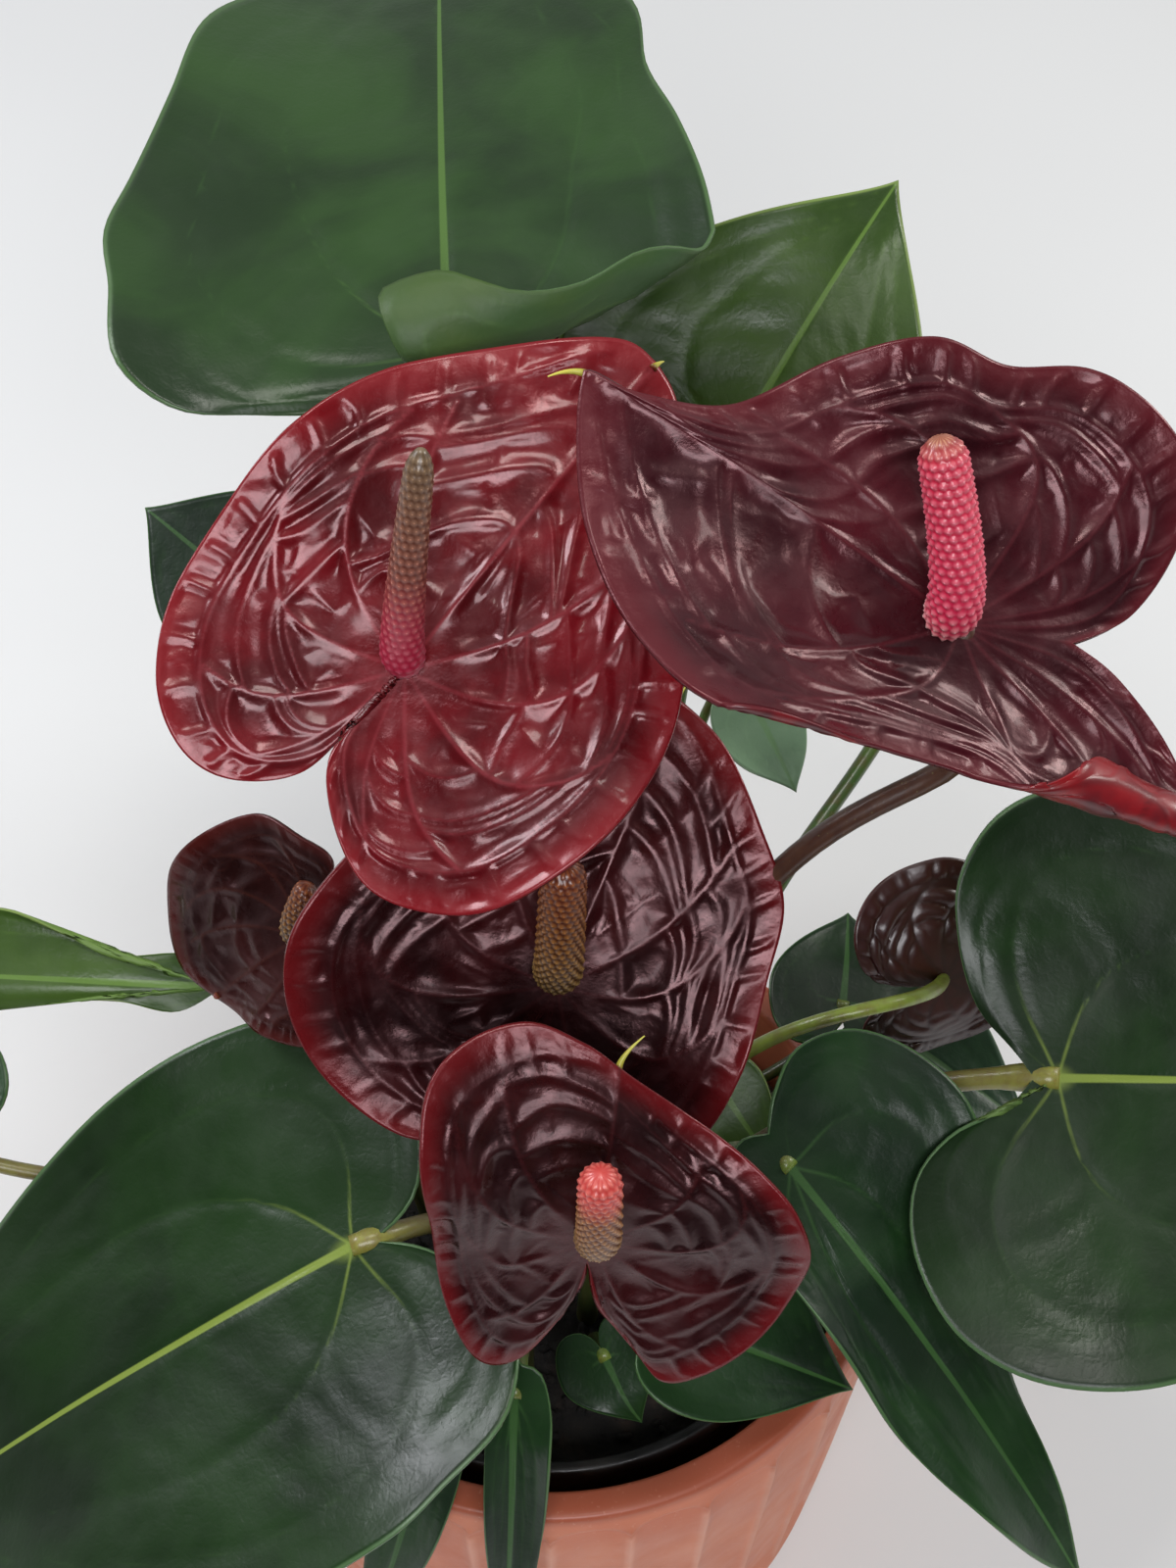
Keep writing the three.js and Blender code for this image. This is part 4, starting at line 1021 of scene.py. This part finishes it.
def planterPiece(material):
    fluteTop = planter["height"] - planter["band"]
    mouth = planter["rimRadius"] - planter["lip"]
    bm = turned(planterProfile(), planter["flutes"] * planter["stepsPerFlute"])
    # the painted highlight along the ridges between flutes, kept in the mesh
    ridgeHighlight = bm.verts.layers.float.new("ridge")
    for vert in bm.verts:
        z, r = vert.co.z / mm, math.hypot(vert.co.x, vert.co.y) / mm
        if r < mouth + 2 or z > fluteTop + 1:
            continue
        turn = math.atan2(vert.co.y, vert.co.x) / (2 * math.pi) * planter["flutes"]
        across = abs(2 * (turn % 1) - 1)
        hollow = math.sqrt(max(0, 1 - across ** 2))
        ridge = smooth(across, planter["ridge"], 1.0)
        below = z - fluteTop
        fadeStart, fadeEnd = planter["ridgeHighlightFade"]
        vert[ridgeHighlight] = ridge * (1 - smooth(below, -fadeStart, -fadeEnd))
        deep = smooth(-below - planter["arch"] * (1 - hollow), 0, 3.5) * (1 - 0.25 * ridge)
        nub = math.exp(-((1 - across) / 0.1) ** 2 - ((below + planter["arch"] - 1) / 1.3) ** 2)
        scale = (r - planter["depth"] * hollow * deep + planter["nub"] * nub) / r
        vert.co.x *= scale
        vert.co.y *= scale
    piece = pieceFrom(bm, "planter_shell", [material])
    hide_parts("planter")


def planterMaterial():
    material = newMaterial("terracotta")
    shadeFrom, shadeTo = planter["lipPaintedShade"]
    tint = layered("#be6848", (
        (grain(30, 5), 0.3, 0.7, 0, 1, "#ca7856"),
        # painted shade: the colour darkens over the lip towards the rim
        (along(objectPlace(), "Z"), shadeFrom * mm, shadeTo * mm, 0.0, 0.75, "#904430"),
        (grain(900, 2), 0.62, 0.8, 0, 0.35, "#d29a84"),
        # painted highlight along the flutes' ridges
        ("ridge", 0.0, 1.0, 0.0, 0.6, "LINEAR", "#e0a48c"),
    ))
    rough = level(grain(80), 0.3, 0.7, 0.38, 0.5)
    setShader(Base_Color=tint, Roughness=rough, Specular_IOR_Level=0.45,
              Normal=bump((grain(500, 3), 0.18, 0.0002)))
    return material


nursery = dict(height=120, rimRadius=64, baseRadius=47, wall=1.6, foot=6.3, rimHeight=8, steps=128)


def nurseryPiece(material):
    height, rim, base, foot = nursery["height"], nursery["rimRadius"], nursery["baseRadius"], nursery["foot"]
    wall, under = nursery["wall"], height - nursery["rimHeight"]
    profile = [(0, foot), (base - 1, foot), (base, foot + 1), (rim - 2, under - 0.3), (rim - 0.6, under),
               (rim, under + 0.6), (rim, height - 0.9), (rim - 0.5, height - 0.2), (rim - 1.2, height),
               (rim - wall - 1, height - 0.1), (rim - wall - 1.5, height - 0.7), (rim - wall - 2.5, under),
               (base - wall, foot + wall), (0, foot + wall)]
    piece = pieceFrom(turned(profile, nursery["steps"]), "nursery_pot_shell", [material])
    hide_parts("nursery_pot")


def nurseryMaterial():
    material = newMaterial("black_plastic")
    tint = layered("#0c0c0c", ((grain(60, 5), 0.45, 0.75, 0, 0.5, "#34302c"),))
    rough = level(grain(150), 0.3, 0.7, 0.3, 0.5)
    setShader(Base_Color=tint, Roughness=rough,
              Normal=bump((grain(900, 2), 0.2, 0.0002)))
    return material


soil = dict(
    top=108, bottom=9, radius=57.5, narrowing=0.78, sag=3, sagFrom=44, sagTo=57, sunk=0.4,
    lumps=((1.5, 9, 3), (0.9, 3.5, 9)),  # height, width and seed
    rings=56, spokes=160,
    sideShare=0.3,  # how much further the rings run down the side, as a share of their way over the top
    spread=55,  # the radius within which crumbs and grains lie
    crumbs=dict(count=420, sizes=(0.7, 2.4), roughness=0.3, seed=4),
    perlite=dict(count=26, sizes=(0.7, 1.5), roughness=0.25, seed=8),
)


def soilHeight(x, y):
    lumps = sum(height * waver(x, y, width, seed) for height, width, seed in soil["lumps"])
    sag = soil["sag"] * smooth(math.hypot(x, y), soil["sagFrom"], soil["sagTo"])
    return soil["top"] - sag - soil["sunk"] + lumps


def soilPiece(material):
    bm = bmesh.new()
    bmesh.ops.create_grid(bm, x_segments=soil["rings"], y_segments=soil["spokes"], size=0.5)
    for vert in bm.verts:
        t = (vert.co.x + 0.5) * (1 + soil["sideShare"])
        angle = 2 * math.pi * (vert.co.y + 0.5)
        r = soil["radius"] * min(1.0, t)
        x, y = r * math.cos(angle), r * math.sin(angle)
        down = clamp((t - 1) / soil["sideShare"])
        z = mix(soilHeight(x, y), soil["bottom"], down)
        narrow = mix(1.0, soil["narrowing"], down)
        vert.co = Vector((x * narrow, y * narrow, z)) * mm
    bmesh.ops.remove_doubles(bm, verts=bm.verts, dist=1e-7)
    bmesh.ops.holes_fill(bm, edges=[e for e in bm.edges if e.is_boundary], sides=0)
    bmesh.ops.recalc_face_normals(bm, faces=bm.faces)
    piece = pieceFrom(bm, "soil_bed", [material])
    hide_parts("soil")


def scattered(name, lumps, material):  # small lumps lying on the soil
    dice = random.Random(lumps["seed"])
    bm = bmesh.new()
    for _ in range(lumps["count"]):
        r = soil["spread"] * math.sqrt(dice.random())
        angle = dice.uniform(0, 2 * math.pi)
        x, y = r * math.cos(angle), r * math.sin(angle)
        size = dice.uniform(*lumps["sizes"])
        place = Vector((x, y, soilHeight(x, y) + 0.2 * size)) * mm
        amount = dice.uniform(0, 6.3)
        axis = Vector((dice.random(), dice.random(), dice.random() + 0.1))
        squeeze = Matrix.Diagonal((1, dice.uniform(0.6, 1), dice.uniform(0.45, 0.9), 1))
        stance = Matrix.Translation(place) @ Matrix.Rotation(amount, 4, axis) @ squeeze
        made = bmesh.ops.create_icosphere(bm, subdivisions=1, radius=size * mm, matrix=stance)
        for vert in made["verts"]:
            vert.co += (vert.co - place) * lumps["roughness"] * dice.uniform(-1, 1)
    piece = pieceFrom(bm, name, [material])


def soilMaterial():
    material = newMaterial("peat")
    tint = ramp(grain(140, 6), [(0.35, "#070504"), (0.55, "#15100c"), (0.75, "#2c2018")])
    setShader(Base_Color=tint, Roughness=0.92,
              Normal=bump((grain(500, 5), 0.9, 0.001)))
    return material


def perliteMaterial():
    material = newMaterial("perlite")
    tint = layered("#e6e2d8", ((grain(400), 0.4, 0.65, 0, 1, "#a89c88"),))
    skin = bump((grain(900), 0.5, 0.0003))
    setShader(Base_Color=tint, Roughness=0.8, Normal=skin)
    return material


planterPiece(planterMaterial())
nurseryPiece(nurseryMaterial())
peat = soilMaterial()
soilPiece(peat)
scattered("soil_crumbs", soil["crumbs"], peat)
scattered("soil_perlite", soil["perlite"], perliteMaterial())
print("planter and soil made")


# Camera, floor and light

camera = dict(place=(0.0082, -0.2572, 0.6281), downFromLevel=52.83, lens=36.0, sensor=24.0)
lights = {  # place, aim, size, watts, colour
    "window": ((-1.0, 0.4, 1.15), (0, 0, 0.2), (0.5, 0.4), 10, "#f8f9ff"),
    "top": ((0.1, 0.1, 1.8), (0, 0, 0.2), (0.45, 0.35), 7, "#fffcf6"),
    "right": ((1.2, 0.5, 1.0), (0, 0, 0.2), (0.4, 0.4), 7, "#fffcf6"),
    "front": ((0.0, -1.05, 1.2), (0, 0, 0.2), (0.9, 0.5), 15, "#fbfbff"),
}
surroundings = dict(front="#3a3c40", back="#dcdee0", strength=0.65)
ground = dict(size=4, near="#dadbdb", far="#2c2c30", start=-0.2, end=-0.8)  # painted shade: it darkens towards the front, where the glossy spathes mirror it


def makeCamera(look):
    data = bpy.data.cameras.new("camera")
    data.sensor_fit = "VERTICAL"
    data.sensor_height = look["sensor"]
    data.lens = look["lens"]
    data.clip_start = 0.01
    made = newObject("camera", data)
    made.location = look["place"]
    made.rotation_euler = (math.radians(90 - look["downFromLevel"]), 0, 0)
    bpy.context.scene.camera = made


def makeLight(name, place, aim, size, watts, tint):
    data = bpy.data.lights.new(name, "AREA")
    data.shape = "RECTANGLE"
    data.size, data.size_y = size
    data.energy = watts
    data.color = colour(tint)[:3]
    made = newObject(name, data)
    made.location = place
    made.rotation_euler = (Vector(aim) - Vector(place)).to_track_quat("-Z", "Y").to_euler()


def makeFloor():
    bm = bmesh.new()
    bmesh.ops.create_grid(bm, x_segments=1, y_segments=1, size=ground["size"])
    material = newMaterial("pale_floor")
    depth = along(objectPlace(), "Y")
    tint = layered(ground["near"], (
        # painted shade towards the front, then faint mottling in the same dark colour
        (depth, ground["end"], ground["start"], 1.0, 0.0, ground["far"]),
        (grain(3, 2), 0.3, 0.7, 0.0, 0.03, ground["far"]),
    ))
    setShader(Base_Color=tint, Roughness=0.9, Specular_IOR_Level=0.0)
    floor = netObject(bm, "floor", [material])


def makeWorld(look):  # a pale room that is darker in front of the plant than behind it
    bpy.context.scene.world = startNodes(bpy.data.worlds.new("studio"))
    depth = along(add("TexCoord").outputs["Generated"], "Y")
    tint = layered(look["front"], ((depth, -0.7, 0.3, 0.0, 1.0, look["back"]),))
    back = tree.nodes["Background"]
    join(tint, back.inputs["Color"])
    back.inputs["Strength"].default_value = look["strength"]


makeCamera(camera)
makeFloor()
makeWorld(surroundings)
bpy.context.scene.view_settings.view_transform = "Standard"
for name, values in lights.items():
    makeLight(name, *values)
print("camera and lights set")
